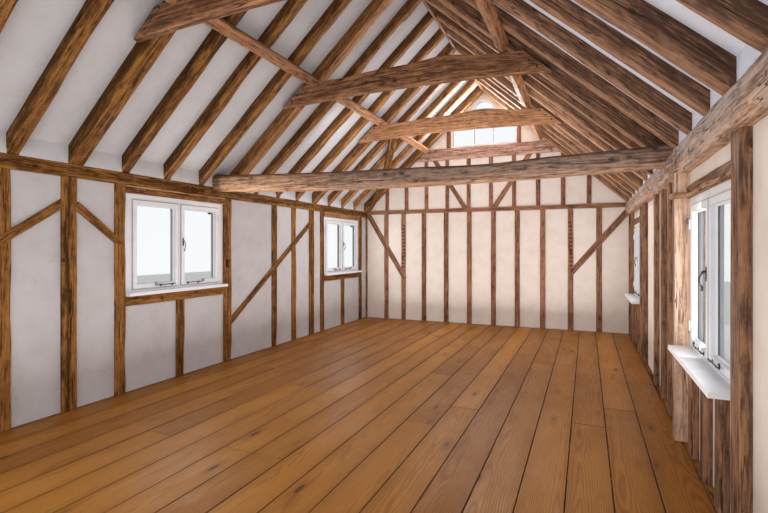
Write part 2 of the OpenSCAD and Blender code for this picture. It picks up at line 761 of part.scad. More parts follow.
// Ridge tiles: half-round tiles bedded in a row on both slopes, each with a raised rim at one end
ridge_seat = under(0) + depth_v + cover_v;
ridge_tile_rise = 0.45;
rim_l = 60;
rim_t = 8;
module ridge_tile_profile(r) difference() {
    translate([0, ridge_seat - ridge_tile_rise * ridge_tile_r]) difference() {
        circle(r);
        circle(ridge_tile_r - ridge_tile_t);
    }
    polygon([[0, ridge_seat], [-2 * r, ridge_seat - 2 * r * pitch], [2 * r, ridge_seat - 2 * r * pitch]]);
}
module ridge_tiles() color("#8c5340") {
    run = hall_l + 2 * verge_reach;
    count = ceil(run / ridge_tile_l);
    length = run / count;
    cross_frame(near_y - verge_reach, run) ridge_tile_profile(ridge_tile_r);
    for (i = [1:count])
        cross_frame(near_y - verge_reach + i * length - rim_l, rim_l)
            ridge_tile_profile(ridge_tile_r + rim_t);
}

floor_joists();
floor_boards();
left_sole_plate();
right_sole_plate();
gable_sole_plate();
left_wall_plate();
right_wall_plate();
left_posts();
right_posts();
left_studs();
right_studs();
left_braces();
right_braces();
left_window_rails();
right_window_rails();
left_plaster();
right_plaster();
left_window_frames();
right_window_frames();
left_window_glass();
right_window_glass();
left_window_sills();
right_window_sills();
gable_mid_rail();
gable_lower_studs();
gable_upper_studs();
gable_lower_braces();
gable_upper_braces();
gable_collar();
gable_plaster();
gable_window_frame();
gable_window_glass();
tie_beam();
collars();
left_purlins();
right_purlins();
left_wind_brace();
ridge_board();
left_common_rafters();
right_common_rafters();
left_principal_rafters();
right_principal_rafters();
left_roof_lining();
right_roof_lining();
left_eaves_plaster();
right_eaves_plaster();
left_roof_cover();
right_roof_cover();
ridge_tiles();
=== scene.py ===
import math

import bpy
import numpy as np
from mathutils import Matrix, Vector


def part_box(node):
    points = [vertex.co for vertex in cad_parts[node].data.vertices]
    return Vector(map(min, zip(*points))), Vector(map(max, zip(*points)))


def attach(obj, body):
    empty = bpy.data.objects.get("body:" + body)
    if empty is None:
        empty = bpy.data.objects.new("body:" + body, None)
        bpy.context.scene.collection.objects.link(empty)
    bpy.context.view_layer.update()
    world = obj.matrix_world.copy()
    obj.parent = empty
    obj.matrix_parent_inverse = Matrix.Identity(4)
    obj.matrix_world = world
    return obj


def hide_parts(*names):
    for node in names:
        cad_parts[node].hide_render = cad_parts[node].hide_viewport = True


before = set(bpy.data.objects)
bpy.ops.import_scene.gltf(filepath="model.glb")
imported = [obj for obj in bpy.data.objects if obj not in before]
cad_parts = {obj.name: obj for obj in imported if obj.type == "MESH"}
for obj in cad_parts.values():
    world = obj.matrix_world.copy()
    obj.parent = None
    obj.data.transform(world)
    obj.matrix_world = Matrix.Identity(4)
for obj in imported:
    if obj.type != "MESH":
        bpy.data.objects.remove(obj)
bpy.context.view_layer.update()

bl_info = {
    "name": "Timber-framed hall",
    "version": (1, 0, 0),
    "blender": (4, 5, 0),
    "location": "View3D > Sidebar > Hall",
    "description": "Dresses a timber-framed hall with an open roof over its packed frame",
    "category": "Object",
}

# Sizes in metres that repeat the part's own, because its source can't be read here
FLOOR_LOW, FLOOR_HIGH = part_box("floor_boards")
HALF_W = FLOOR_HIGH.x
FLOOR = FLOOR_HIGH.z
NEAR_Y, GABLE_Y = FLOOR_LOW.y, FLOOR_HIGH.y
WALL_T = 0.150
OUTER_X = HALF_W + WALL_T
FAR_Y = GABLE_Y + WALL_T
EAVES_X = OUTER_X + 0.150
PITCH = 0.9
SLOPE = math.hypot(1.0, PITCH)
ALONG = np.array([1.0, 0.0, PITCH]) / SLOPE
OUTWARD = np.array([-PITCH, 0.0, 1.0]) / SLOPE
RAFTER_UNDER = FLOOR + 1.995
RAFTER_DEPTH = 0.140 * SLOPE
RAFTER_SHOW = 0.092 * SLOPE
PRINCIPAL_DROP = 0.020 * SLOPE
RIDGE_T = 0.030
SPACING = 0.452
RAFTERS = range(17)
RAFTER_W, PRINCIPAL_W = 0.085, 0.118
PLATE_TOP = FLOOR + 1.975
COLLAR_Z, COLLAR_D, COLLAR_T, CAMBER, HUMP = FLOOR + 2.795, 0.205, 0.065, 0.045, 0.040
COLLAR_GAPS = {-1: 0.055, 1: 0.110}
PEG_W, PEG_RISE, PEG_IN = 0.022, 0.004, 0.055
PURLIN = 0.088
PURLIN_X = {-1: 0.465 * HALF_W, 1: 0.436 * HALF_W}
POST_W, STUD_W, JAMB_W, BRACE_W = 0.116, 0.100, 0.038, 0.064
POST_LEAD, STUD_LEAD, SILL_RAIL_D = 0.048, 0.060, 0.090
# How far the studs and rails stay back from the wall's faces, both sides together
STUD_BACK, JAMB_BACK, RAIL_BACK = 0.014, 0.010, 0.006
LEFT_BRACE_TOP, RIGHT_BRACE_TOP = FLOOR + 1.650, FLOOR + 1.150
LONG_BRACE_FALL, SHORT_BRACE_FALL = 0.71, 0.78
WINDOW_W = {-1: 1.250, 1: 1.140}
SILL, HEAD = {-1: FLOOR + 0.865, 1: FLOOR + 0.615}, {-1: FLOOR + 1.800, 1: FLOOR + 1.632}
HEAD_RAIL, HEAD_RAIL_BACK = FLOOR + 1.715, 0.025
RIGHT_POST_REACH, RIGHT_PLATE_REACH = 0.040, 0.040
WINDOW_BACK = {-1: 0.030, 1: 0.045}
CASEMENT_REACH, FRAME_W, UPRIGHT_W, MULLION_W, CASEMENT_W = 0.012, 0.058, 0.086, 0.042, 0.038
MID_RAIL_LOW, MID_RAIL_HIGH = FLOOR + 1.922, FLOOR + 1.990
GABLE_COLLAR_LOW, GABLE_COLLAR_HIGH = FLOOR + 2.840, FLOOR + 3.040
GABLE_WINDOW_W, GABLE_WINDOW_X = 1.130, -0.020
TIE_LOW, TIE_D, TIE_HALF_T, TIE_GAP = FLOOR + 1.868, 0.176, 0.105, 0.033
TIE_SAG, TIE_TILT, TIE_TAPER, TIE_HOLLOW = 0.062, 0.012, 0.010, 0.018
WIND_BRACE_W, WIND_BRACE_T, WIND_BRACE_BOW = 0.130, 0.045, 0.190
VERGE, BOARDING_T, TILES_TOP = 0.040, 0.018, 0.0445
LOWER_STUDS = 2 * HALF_W * np.array(
    [-0.411, -0.3333, -0.2443, -0.1507, -0.0571, 0.0365, 0.1256, 0.2169, 0.3128, 0.4064])
UPPER_STUDS = (np.arange(10) - 4.5) * 0.380 - 0.0164 * 2 * HALF_W
LOWER_STUD_W, UPPER_STUD_W, LOWER_BRACE_W, UPPER_BRACE_W = 0.080, 0.066, 0.086, 0.070
LOWER_BRACE_FEET = FLOOR + 0.740, FLOOR + 0.900
UPPER_BRACES = 2 * HALF_W * np.array([[-0.2009, -0.0708], [0.1735, 0.0365]])
PANE_BACK, BEAD_W, GAP_SHADOW_W = 0.020, 0.011, 0.006
HANDLE_DROP, STAY_RUN, HINGE_HALF = 0.125, 0.23, 0.032
TILE_LENGTH, TILE_T, TILE_CAMBER, TILE_TAIL, TILE_HEAD = 0.185, 0.010, 0.0035, 0.0215, 0.009


def under(x):
    """Height of the common rafters' underside at a distance from the ridge line."""
    return RAFTER_UNDER + PITCH * (HALF_W - np.abs(x))


def rafter_y(k):
    return NEAR_Y + COLLAR_T + PRINCIPAL_W / 2 + k * SPACING


def truss_y(bay):
    return rafter_y(4 * bay)


def post_y(bay):
    return NEAR_Y + POST_W / 2 if bay == 0 else truss_y(bay) - POST_LEAD


LAST_WINDOW_Y = (post_y(3) + POST_W / 2 + GABLE_Y) / 2
WINDOWS = {
    -1: (post_y(2) - (POST_W + WINDOW_W[-1]) / 2, LAST_WINDOW_Y),
    1: (post_y(1) + (POST_W + WINDOW_W[1]) / 2 + JAMB_W, LAST_WINDOW_Y)}
TIE_Y = truss_y(2) - PRINCIPAL_W / 2 - TIE_GAP - TIE_HALF_T


# Shading

class Value:
    """A node's output; arithmetic on it adds the Math nodes."""

    def __init__(self, shading, socket):
        self.shading = shading
        self.socket = socket

    def math(self, operation, *others):
        return self.shading.math(operation, self, *others)

    def __add__(self, other):
        return self.math("ADD", other)

    def __sub__(self, other):
        return self.math("SUBTRACT", other)

    def __rsub__(self, other):
        return self.shading.math("SUBTRACT", other, self)

    def __mul__(self, other):
        return self.math("MULTIPLY", other)

    def __pow__(self, other):
        return self.math("POWER", other)

    def __abs__(self):
        return self.math("ABSOLUTE")


class Shading:
    """The nodes of one material or world, and the one that takes what they make."""

    def __init__(self, owner, surface="Principled BSDF"):
        owner.use_nodes = True
        self.owner = owner
        self.tree = owner.node_tree
        self.surface = self.tree.nodes[surface]

    def node(self, kind, settings=None, sockets=None, output=0):
        """Adds a node: its settings first, then the values or links of its sockets."""
        node = self.tree.nodes.new(kind)
        for name, value in (settings or {}).items():
            setattr(node, name, value)
        for name, value in (sockets or {}).items():
            self.connect(node.inputs[name], value)
        return Value(self, node.outputs[output])

    def connect(self, socket, value):
        if isinstance(value, Value):
            self.tree.links.new(value.socket, socket)
        elif socket.type == "RGBA" and len(value) == 3:
            socket.default_value = (*value, 1.0)
        else:
            socket.default_value = value

    def math(self, operation, *values):
        return self.node("ShaderNodeMath", {"operation": operation}, dict(enumerate(values)))

    def vector(self, operation, *values):
        return self.node("ShaderNodeVectorMath", {"operation": operation}, dict(enumerate(values)))

    def place(self):
        return self.node("ShaderNodeTexCoord", output="Object")

    def stretch(self, vector, scales, shift=(0.0, 0.0, 0.0)):
        moved = self.vector("MULTIPLY", vector, scales)
        return self.vector("ADD", moved, shift) if any(shift) else moved

    def noise(self, vector, scale, detail, rough=0.55):
        return self.node("ShaderNodeTexNoise", None, {
            "Vector": vector, "Scale": scale, "Detail": detail, "Roughness": rough})

    def streaks(self, vector, scales, detail, rough=0.55, shift=(0.0, 0.0, 0.0)):
        """Noise with a scale for each axis; a shift tells two of them apart."""
        return self.noise(self.stretch(vector, scales, shift), 1.0, detail, rough)

    def cells(self, vector, scale, feature="F1"):
        return self.node(
            "ShaderNodeTexVoronoi", {"feature": feature}, {"Vector": vector, "Scale": scale})

    def attribute(self, name, output="Fac"):
        return self.node("ShaderNodeAttribute", {"attribute_name": name}, output=output)

    def step(self, value, low, high, start=0.0, end=1.0):
        """Goes smoothly from start to end while the value goes from low to high."""
        return self.node("ShaderNodeMapRange", {"interpolation_type": "SMOOTHSTEP"}, {
            "Value": value, "From Min": low, "From Max": high, "To Min": start, "To Max": end})

    def blend(self, factor, first, second):
        return self.node(
            "ShaderNodeMix", {"data_type": "RGBA"}, {0: factor, 6: first, 7: second}, output=2)

    def ramp(self, factor, *stops):
        """Runs through the stops, each a place from 0 to 1 and its colour."""
        shade = self.node("ShaderNodeValToRGB", None, {0: factor})
        elements = shade.socket.node.color_ramp.elements
        while len(elements) < len(stops):
            elements.new(0.5)
        for element, (place, colour) in zip(elements, stops):
            element.position = place
            element.color = (*colour, 1.0)
        return shade

    def part(self, vector, axis):
        return self.node("ShaderNodeSeparateXYZ", None, {0: vector}, output=axis)

    def join(self, x, y, z):
        return self.node("ShaderNodeCombineXYZ", None, {0: x, 1: y, 2: z})

    def relief(self, height, distance, strength):
        return self.node("ShaderNodeBump", None, {
            "Height": height, "Distance": distance, "Strength": strength})

    def finish(self, **sockets):
        for name, value in sockets.items():
            self.connect(self.surface.inputs[name.replace("_", " ")], value)
        return self.owner


def scaled(shade, share):
    return tuple(min(channel * share, 1.0) for channel in shade)


HONEY = ((0.17, 0.075, 0.035), (0.46, 0.245, 0.125), (0.72, 0.45, 0.29))


def timber(s, light, dark, axes=None, gloss=0.55, weathered=0.0, honey=HONEY):
    """Old oak: slow bands and fine fibres along the grain, knots with their rings, drying cracks
    and worn arrises, whose paler colour also paints highlights along them. The grain runs along
    the first coordinate, which each hewn piece carries; axes picks it from the piece's place
    instead, for the plain boxes. honey is the second run of colours, which each point takes as
    far as its golden value says. Hollows, and the tie beam's left end, are coloured darker as
    painted shade."""
    if axes is None:
        grain, tone, wear = s.attribute("grain", "Vector"), s.attribute("tone"), s.attribute("wear")
    else:
        place = s.place()
        grain = s.join(*(s.part(place, axis) for axis in axes))
        tone, wear = s.streaks(place, (0.7, 0.7, 0.7), 0.0) * 1.4 - 0.2, 0.0
    sway = s.streaks(grain, (1.6, 5.0, 5.0), 2.0) - 0.5
    bent = s.vector("ADD", grain, s.join(0.0, sway * 0.05, sway * 0.05))
    bands = s.streaks(bent, (2.2, 48.0, 48.0), 6.0, 0.72)
    fibres = s.streaks(bent, (7.0, 120.0, 120.0), 3.0, 0.7)
    dashes = s.streaks(bent, (6.0, 62.0, 62.0), 3.0, 0.6, (5.0, 2.0, 9.0))
    dents = s.streaks(grain, (17.0, 9.0, 9.0), 3.0, 0.6, (1.0, 4.0, 2.0))
    patches = s.streaks(grain, (3.6, 11.0, 11.0), 5.0, 0.68)
    split = s.streaks(bent, (0.7, 19.0, 19.0), 3.0, shift=(3.0, 1.0, 7.0))
    crack = s.step(abs(split - 0.5), 0.004, 0.018, 1.0, 0.0) * s.step(patches, 0.44, 0.58)
    knot = s.cells(s.stretch(bent, (5.0, 8.5, 8.5)), 1.0)
    knot_core = s.step(knot, 0.09, 0.17, 1.0, 0.0)
    knot_ring = s.step(abs(knot - 0.21), 0.0, 0.07, 1.0, 0.0)
    dark_dash, pale_dash = s.step(dashes, 0.57, 0.68), s.step(dashes, 0.42, 0.32)

    amount = bands * 0.95 + fibres * 0.6 + patches * 0.25 + dents * 0.25 + tone * 0.16 - 0.60
    amount = s.step(amount, 0.25, 0.76)
    mixed = tuple(0.45 * high + 0.55 * low for high, low in zip(light, dark))
    shade = s.ramp(amount, (0.0, scaled(dark, 0.6)), (0.25, dark), (0.55, mixed), (1.0, light))
    if weathered:
        shade = s.blend(s.step(patches, 0.3, 0.7) * weathered, shade, (0.34, 0.29, 0.25))
    if axes is None:
        # Each point takes the honey run as far as its golden value says: painted light on the rafters,
        # the tie beam and the strip over the left lintels, and on the broad post the plain brown, which
        # takes its painted light off the faces away from the window
        golden_run = s.ramp(amount, *zip((0.0, 0.5, 1.0), honey))
        shade = s.blend(s.attribute("golden") * 0.9, shade, golden_run)
        # Painted shade: darker in hollows and at the tie beam's left end
        shade = s.blend(s.attribute("sunk") * 0.85, shade, scaled(dark, 0.3))
    # Paler arrises where the patches allow: real wear, and also painted highlights along the arrises
    shade = s.blend(s.step(wear, 0.1, 1.0) * s.step(patches, 0.40, 0.60) * 0.75, shade, light)
    knots = (knot_core * 0.85 + knot_ring * 0.3).math("MINIMUM", 1.0)
    for share, other in ((knots, scaled(dark, 0.35)), (dark_dash * 0.55, scaled(dark, 0.45)),
                         (pale_dash * 0.35, scaled(light, 1.35)), (crack * 0.85, scaled(dark, 0.2))):
        shade = s.blend(share, shade, other)
    height = (bands * 0.6 + fibres * 0.25 + patches * 0.5 + dents * 0.5 - crack * 0.9
              - knot_core * 0.4 - dark_dash * 0.3)
    return s.finish(
        Base_Color=shade, Specular_IOR_Level=0.1, Normal=s.relief(height, 0.006, 0.9),
        Roughness=s.step(patches + fibres * 0.4, 0.4, 0.95, gloss - 0.08, gloss + 0.2))


def pine(s, light, dark):
    """Waxed pine boards: growth rings cut flat by the face, so they run as long arches, fine
    fibres, small brown knots and a tone for each board."""
    grain, tone, wear = s.attribute("grain", "Vector"), s.attribute("tone"), s.attribute("wear")
    sway = s.streaks(grain, (0.9, 4.0, 4.0), 3.0) - 0.5
    across = s.part(grain, 1) + sway * 0.045
    down = s.part(grain, 2) + sway * 0.09
    radius = (across * across + down * down).math("SQRT")
    rings = (radius * 620.0).math("SINE") * 0.5 + 0.5
    fibres = s.streaks(grain, (8.0, 260.0, 120.0), 3.0, 0.6)
    patches = s.streaks(grain, (1.6, 4.0, 4.0), 4.0, 0.6)
    knot = s.cells(s.stretch(grain, (1.5, 5.5, 5.5)), 1.0)
    amount = (rings ** 2.2) * 0.30 + fibres * 0.45 + patches * 0.5 + (1.0 - tone) * 0.42 - 0.36
    middle = tuple((high + low) / 2 for high, low in zip(light, dark))
    shade = s.ramp(s.step(amount, 0.0, 1.0), (0.0, light), (0.45, middle), (1.0, dark))
    for share, depth in ((s.step(knot, 0.10, 0.26, 1.0, 0.0) * 0.35, 0.8),
                         (s.step(knot, 0.05, 0.10, 1.0, 0.0) * 0.85, 0.22), (wear * 0.75, 0.30)):
        shade = s.blend(share, shade, scaled(dark, depth))
    return s.finish(
        Base_Color=shade, Roughness=s.step(fibres + patches, 0.5, 1.4, 0.34, 0.56),
        Specular_IOR_Level=0.15,
        Normal=s.relief(rings * 0.15 + fibres * 0.5 + patches * 0.6, 0.0015, 0.8))


def plaster(s, shade, stain, crack_share=0.15):
    """Old lime plaster: slow waves left by the float, a fine tooth, a few hairline cracks and a
    faint warm stain."""
    place = s.place()
    waves, tooth, blotches = (s.noise(place, *sort) for sort in (
        (2.3, 2.0, 0.5), (95.0, 3.0, 0.6), (5.5, 4.0, 0.6)))
    sway = s.node("ShaderNodeTexNoise", None, {"Vector": place, "Scale": 4.0, "Detail": 3.0}, 1)
    edges = s.cells(s.vector("ADD", place, s.stretch(sway, (0.35, 0.35, 0.35))), 1.9,
                    "DISTANCE_TO_EDGE")
    crack = s.step(edges, 0.0015, 0.006, 1.0, 0.0) * s.step(blotches, 0.48, 0.60)
    colour = s.blend(s.step(blotches, 0.35, 0.75) * 0.8, shade, stain)
    colour = s.blend(s.step(waves, 0.3, 0.7) * 0.25, colour, scaled(shade, 0.86))
    colour = s.blend(crack * crack_share, colour, scaled(stain, 0.35))
    return s.finish(
        Base_Color=colour, Roughness=0.88,
        Normal=s.relief(waves * 6.0 + blotches * 0.8 + tooth * 0.10 - crack * 0.3, 0.006, 0.6))


def paint(s, shade):
    """Brushed white paint with faint drips and a little grey where hands have rubbed it."""
    place = s.place()
    brush = s.streaks(place, (60.0, 60.0, 9.0), 2.0)
    smears = s.noise(place, 7.0, 4.0, 0.6)
    colour = s.blend(s.step(smears, 0.45, 0.75) * 0.6, shade, scaled(shade, 0.84))
    return s.finish(
        Base_Color=colour, Roughness=s.step(smears, 0.3, 0.7, 0.30, 0.48),
        Normal=s.relief(brush * 0.5 + smears * 0.5, 0.0012, 0.5))


def clay(s, light, dark):
    """Fired clay: a tone for each tile, sandy speckle, dark fired blotches and grey lichen."""
    place = s.place()
    blotches = s.noise(place, 6.0, 4.0, 0.6)
    speckle = s.noise(place, 160.0, 2.0, 0.6)
    amount = (s.attribute("tone") * 0.7 + blotches * 0.55 - 0.12).math("MINIMUM", 1.0)
    colour = s.ramp(amount, (0.0, scaled(dark, 0.7)), (0.4, dark), (1.0, light))
    colour = s.blend(s.step(speckle, 0.5, 0.75) * 0.4, colour, scaled(dark, 0.6))
    growth = s.step(s.cells(place, 14.0), 0.14, 0.22, 1.0, 0.0) * s.step(blotches, 0.5, 0.62)
    colour = s.blend(growth * 0.6, colour, (0.36, 0.36, 0.28))
    return s.finish(Base_Color=colour, Roughness=0.86, Normal=s.relief(
        speckle * 0.4 + blotches + growth * 0.4, 0.003, 0.7))


def iron(s, shade):
    """Blacked iron with a hammered skin and lighter rubbed spots."""
    place = s.place()
    rubbed = s.step(s.noise(place, 38.0, 3.0), 0.55, 0.7)
    return s.finish(
        Base_Color=s.blend(rubbed * 0.6, shade, (0.22, 0.21, 0.20)), Metallic=0.7,
        Roughness=s.step(rubbed, 0.0, 1.0, 0.55, 0.35),
        Normal=s.relief(s.cells(place, 190.0), 0.0008, 0.5))


def glazing(s, shade):
    """Clear panes: nearly all light goes through, with a faint waviness in the old glass."""
    return s.finish(
        Base_Color=shade, Roughness=0.02, IOR=1.08, Transmission_Weight=1.0,
        Normal=s.relief(s.noise(s.place(), 9.0, 1.0), 0.001, 0.2))


def stage_paint(s, shade):
    """The plain matt floor of the stage."""
    return s.finish(Base_Color=shade, Roughness=0.9)


FINISHES = {}


# Shapes

def ripple(length, around, seed, waves=5):
    """A smooth random surface from -1 to 1: sines of both parameters, whose rates and starts
    come from the seed."""
    rng = np.random.default_rng(seed)
    total = 0.0
    for _ in range(waves):
        total = total + np.sin(
            length * rng.uniform(2.0, 16.0) + around * rng.uniform(-2.5, 2.5) + rng.uniform(0, 6.28))
    return total / waves


class Heap:
    """Gathers the pieces of one node and puts them in one mesh."""

    def __init__(self):
        self.points, self.quads, self.values = [], [], []
        self.count = 0

    def add(self, points, quads, **values):
        """Takes points (n, 3) and four-sided faces, turned outwards by the sign of the volume
        that they enclose, and the values that each point carries."""
        a, b, c, d = (points[quads[:, i]] for i in range(4))
        volume = np.einsum("ij,ij->i", a, np.cross(b, c) + np.cross(c, d)).sum()
        if volume < 0:
            quads = quads[:, ::-1]
        self.points.append(points)
        self.quads.append(quads + self.count)
        self.values.append({name: np.broadcast_to(
            value, (len(points), 3) if name == "grain" else (len(points),))
            for name, value in values.items()})
        self.count += len(points)

    def build(self, name, slot, *nodes, finish=None, smooth=38.0):
        """Makes the mesh, with its slot's finish unless another is named. It rides with the
        frame and stands for the given nodes."""
        quads = np.concatenate(self.quads)
        mesh = bpy.data.meshes.new(name)
        mesh.from_pydata(np.concatenate(self.points), [], quads.tolist())
        for key in self.values[0]:
            kind, field = ("FLOAT_VECTOR", "vector") if key == "grain" else ("FLOAT", "value")
            data = np.concatenate([values[key] for values in self.values]).astype(np.float32)
            mesh.attributes.new(key, kind, "POINT").data.foreach_set(field, data.ravel())
        mesh.polygons.foreach_set("use_smooth", np.ones(len(quads), dtype=bool))
        mesh.set_sharp_from_angle(angle=math.radians(smooth))
        mesh.materials.append(FINISHES[finish or slot])
        mesh.update()
        piece = bpy.data.objects.new(name, mesh)
        bpy.context.collection.objects.link(piece)
        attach(piece, "root")
        if nodes:
            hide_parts(*nodes)


def rings_to_quads(stations, sides):
    """Faces of a closed tube of rings, with both ends closed by strips across their ring."""
    i = np.arange(stations - 1)[:, None] * sides
    j = np.arange(sides)[None, :]
    k = (j + 1) % sides
    tube = np.stack([i + j, i + k, i + sides + k, i + sides + j], -1).reshape(-1, 4)
    h = np.arange(sides // 2 - 1)
    cap = np.stack([h, sides - 1 - h, sides - 2 - h, h + 1], -1)
    far = cap[:, ::-1] + (stations - 1) * sides
    return np.concatenate([tube, cap, far])


ARRIS = 0.004


def hewn(heap, centres, side, up, width, depth, seed, wane=0.02, wobble=0.002,
         soft=(1, 1, 1, 1), hollows=(), golden=0.0, tint=0.0):
    """One hewn timber. At each station stands a rectangle, side wide and up deep; its arrises are
    cut back by a few millimetres and, where a slow random wave peaks, by the wane, and each
    point of its faces moves out by a small random wave. soft says which arrises the wane may
    take: (side+, up+), (side-, up+), (side-, up-), (side+, up-). A hollow is the start and end
    along the run, the face it is cut into (0 up+, 1 side-, 2 up-, 3 side+) and its depth; its
    floor is coloured darker as painted shade. golden, the share of the second run of colours, and
    tint, a shift of tone that carries painted shade where it differs from face to face, colour the
    whole piece, or each of its section's 16 points, four to a face."""
    centres = np.asarray(centres, float)
    n = len(centres)
    side, up = (np.broadcast_to(axis, (n, 3)) for axis in (side, up))
    width, depth = (np.broadcast_to(size, n) for size in (width, depth))
    run = np.concatenate([[0.0], np.cumsum(np.linalg.norm(np.diff(centres, axis=0), axis=1))])
    rng = np.random.default_rng(seed)
    signs = np.array([[1, 1], [-1, 1], [-1, -1], [1, -1]])
    cuts = np.stack([
        ARRIS * (1.3 + ripple(run * 1.5, 0, seed * 7 + k)) + soft[k] * wane * np.clip(
            ripple(run * 0.45, 0, seed * 11 + k, 3) * 1.5 - 0.25 + rng.uniform(-0.3, 0.3), 0, 1)
        for k in range(4)], 1)
    cuts = np.minimum(cuts, np.minimum(width, depth)[:, None] * 0.36)
    corner = signs[None] * np.stack([width, depth], -1)[:, None] / 2
    following = np.roll(corner, -1, axis=1)
    forward = following - corner
    forward = forward / np.linalg.norm(forward, axis=2, keepdims=True)
    start = corner + forward * cuts[..., None]
    end = following - forward * np.roll(cuts, -1, axis=1)[..., None]
    shares = np.array([0.0, 0.34, 0.67, 1.0])[None, None, :, None]
    section = (start[:, :, None] * (1 - shares) + end[:, :, None] * shares).reshape(n, 16, 2)
    outward = np.repeat(np.stack([forward[..., 1], -forward[..., 0]], -1), 4, axis=1)
    inner = np.tile([0.45, 1.0, 1.0, 0.45], 4)[None, :]
    around = np.arange(16) * 0.7
    push = wobble * (0.6 + ripple(run[:, None], around[None], seed * 3 + 1)) * inner
    sunk = np.zeros((n, 16))
    for low, high, face, deep in hollows:
        within = (run >= low) & (run <= high)
        push[within, 4 * face + 1:4 * face + 3] -= deep
        sunk[within, 4 * face + 1:4 * face + 3] = 1.0
    sense = np.sign((outward * section).sum(-1, keepdims=True).mean())
    section = section + outward * sense * push[..., None]
    points = (centres[:, None] + side[:, None] * section[..., :1] + up[:, None] * section[..., 1:])
    heart = rng.uniform(-0.3, 0.3, 2) * (width[0], depth[0])
    grain = np.concatenate([
        np.broadcast_to((run + rng.uniform(0, 40))[:, None, None], (n, 16, 1)),
        section + heart], -1)
    tone, wear, golden = (np.broadcast_to(value, (n, 16)).ravel() for value in (
        rng.uniform(0, 1) + tint, np.tile([1.0, 0.0, 0.0, 1.0], 4), golden))
    heap.add(points.reshape(-1, 3), rings_to_quads(n, 16), grain=grain.reshape(-1, 3),
             tone=tone, wear=wear, sunk=sunk.ravel(), golden=golden)


def straight(heap, start, end, side, up, width, depth, seed, **extra):
    """A hewn timber between two points."""
    start, end = np.asarray(start, float), np.asarray(end, float)
    length = np.linalg.norm(end - start)
    t = np.linspace(0.0, 1.0, max(5, int(length / 0.065)))
    for low, high, _, _ in extra.get("hollows", ()):
        t = np.append(t, np.array([low - 0.002, low, high, high + 0.002]) / length)
    t = np.unique(np.clip(t, 0.0, 1.0))[:, None]
    hewn(heap, start + (end - start) * t, side, up, width, depth, seed, **extra)


X, Y, Z = np.eye(3)


def mirrored(vector, hand):
    """Turns a direction on the left slope into its twin on the right one."""
    return vector * (-hand, 1.0, 1.0)


def rounded(value, power):
    """A sine or cosine raised to a power with its sign kept, for a superellipse."""
    return np.sign(value) * np.abs(value) ** power


# Painted shade and light on a rafter's top, near side, underside and far side, on the left and the
# right slope: the sides darker and the underside lighter, as the light falls
RAFTER_PAINTED_SHADES = {-1: (0.0, -0.55, 0.1, -0.45), 1: (0.0, -0.75, 0.4, -0.5)}


def rafters(heap, hand, principal, seed):
    """Rafters of one slope: rings stand upright, so that both ends are cut plumb. hand is -1 for
    the left slope and 1 for the right one. Their colour carries painted light: they grow paler
    towards the gable, with painted highlights along the arrises of their underside, and painted
    shade on their sides."""
    width, drop = (PRINCIPAL_W, PRINCIPAL_DROP) if principal else (RAFTER_W, 0.0)
    x = np.linspace(EAVES_X, RIDGE_T / 2, 56)
    middle = under(x) + (RAFTER_DEPTH - drop) / 2
    for k in RAFTERS:
        if (k % 4 == 0) != principal:
            continue
        # Painted light: paler towards the gable, and paler still on the arrises of the underside
        # (points 8, 11 and 12) as painted highlights
        far = np.clip((rafter_y(k) + 1.5) / 3.5, 0.0, 1.0)
        painted_light = np.full(16, 0.38 * far)
        painted_light[[8, 11, 12]] += 0.5 * far
        rng = np.random.default_rng(seed + k)
        taper = 1.0 + 0.10 * (rng.uniform(-1, 1) * (x / EAVES_X - 0.5))
        centres = np.stack([hand * x, np.full_like(x, rafter_y(k)), middle], 1)
        hewn(heap, centres, Y, Z, width * np.maximum(taper, 1.0) + 0.003, RAFTER_DEPTH + drop,
             seed + k, wane=0.030 * np.clip((HALF_W - 0.1 - x) / 0.4, 0.1, 1.0),
             wobble=0.0035, soft=(0, 0, 1, 1), tint=np.repeat(RAFTER_PAINTED_SHADES[hand], 4), golden=painted_light)


def bar(heap, wall, a, b, width, middle, thickness, seed, **extra):
    """A sloping timber in a wall, whose ends are two points of the wall's own plane: y and z in
    a "side" wall, x and z in a "cross" wall. middle is the place of its axis across the wall."""
    a, b = np.asarray(a, float), np.asarray(b, float)
    level, across = (Y, X) if wall == "side" else (X, Y)
    flat = np.array([-(b - a)[1], (b - a)[0]]) / np.linalg.norm(b - a)
    ends = (across * middle + level * place + Z * height for place, height in (a, b))
    straight(heap, *ends, level * flat[0] + Z * flat[1], across, width, thickness, seed, **extra)


# What a user would change

def size(name, description, default, least):
    return bpy.props.FloatProperty(
        name=name, description=description, default=default, min=least, unit="LENGTH")


class HallSizes(bpy.types.PropertyGroup):
    board_width: size("Floor board width", "Width of one pine board", 0.231, 0.1)
    board_gap: size("Board gap", "Open joint between two floor boards", 0.004, 0.0)
    tile_width: size("Tile width", "Width of one plain clay tile", 0.165, 0.05)
    tile_gauge: size("Tile gauge", "Distance between two rows of tiles", 0.100, 0.05)
    stage_size: size("Stage size", "Side of the pale floor under the hall", 40.0, 10.0)


def colour(name, description, default):
    return bpy.props.FloatVectorProperty(
        name=name, description=description, subtype="COLOR", size=3, min=0.0, max=1.0,
        default=default)


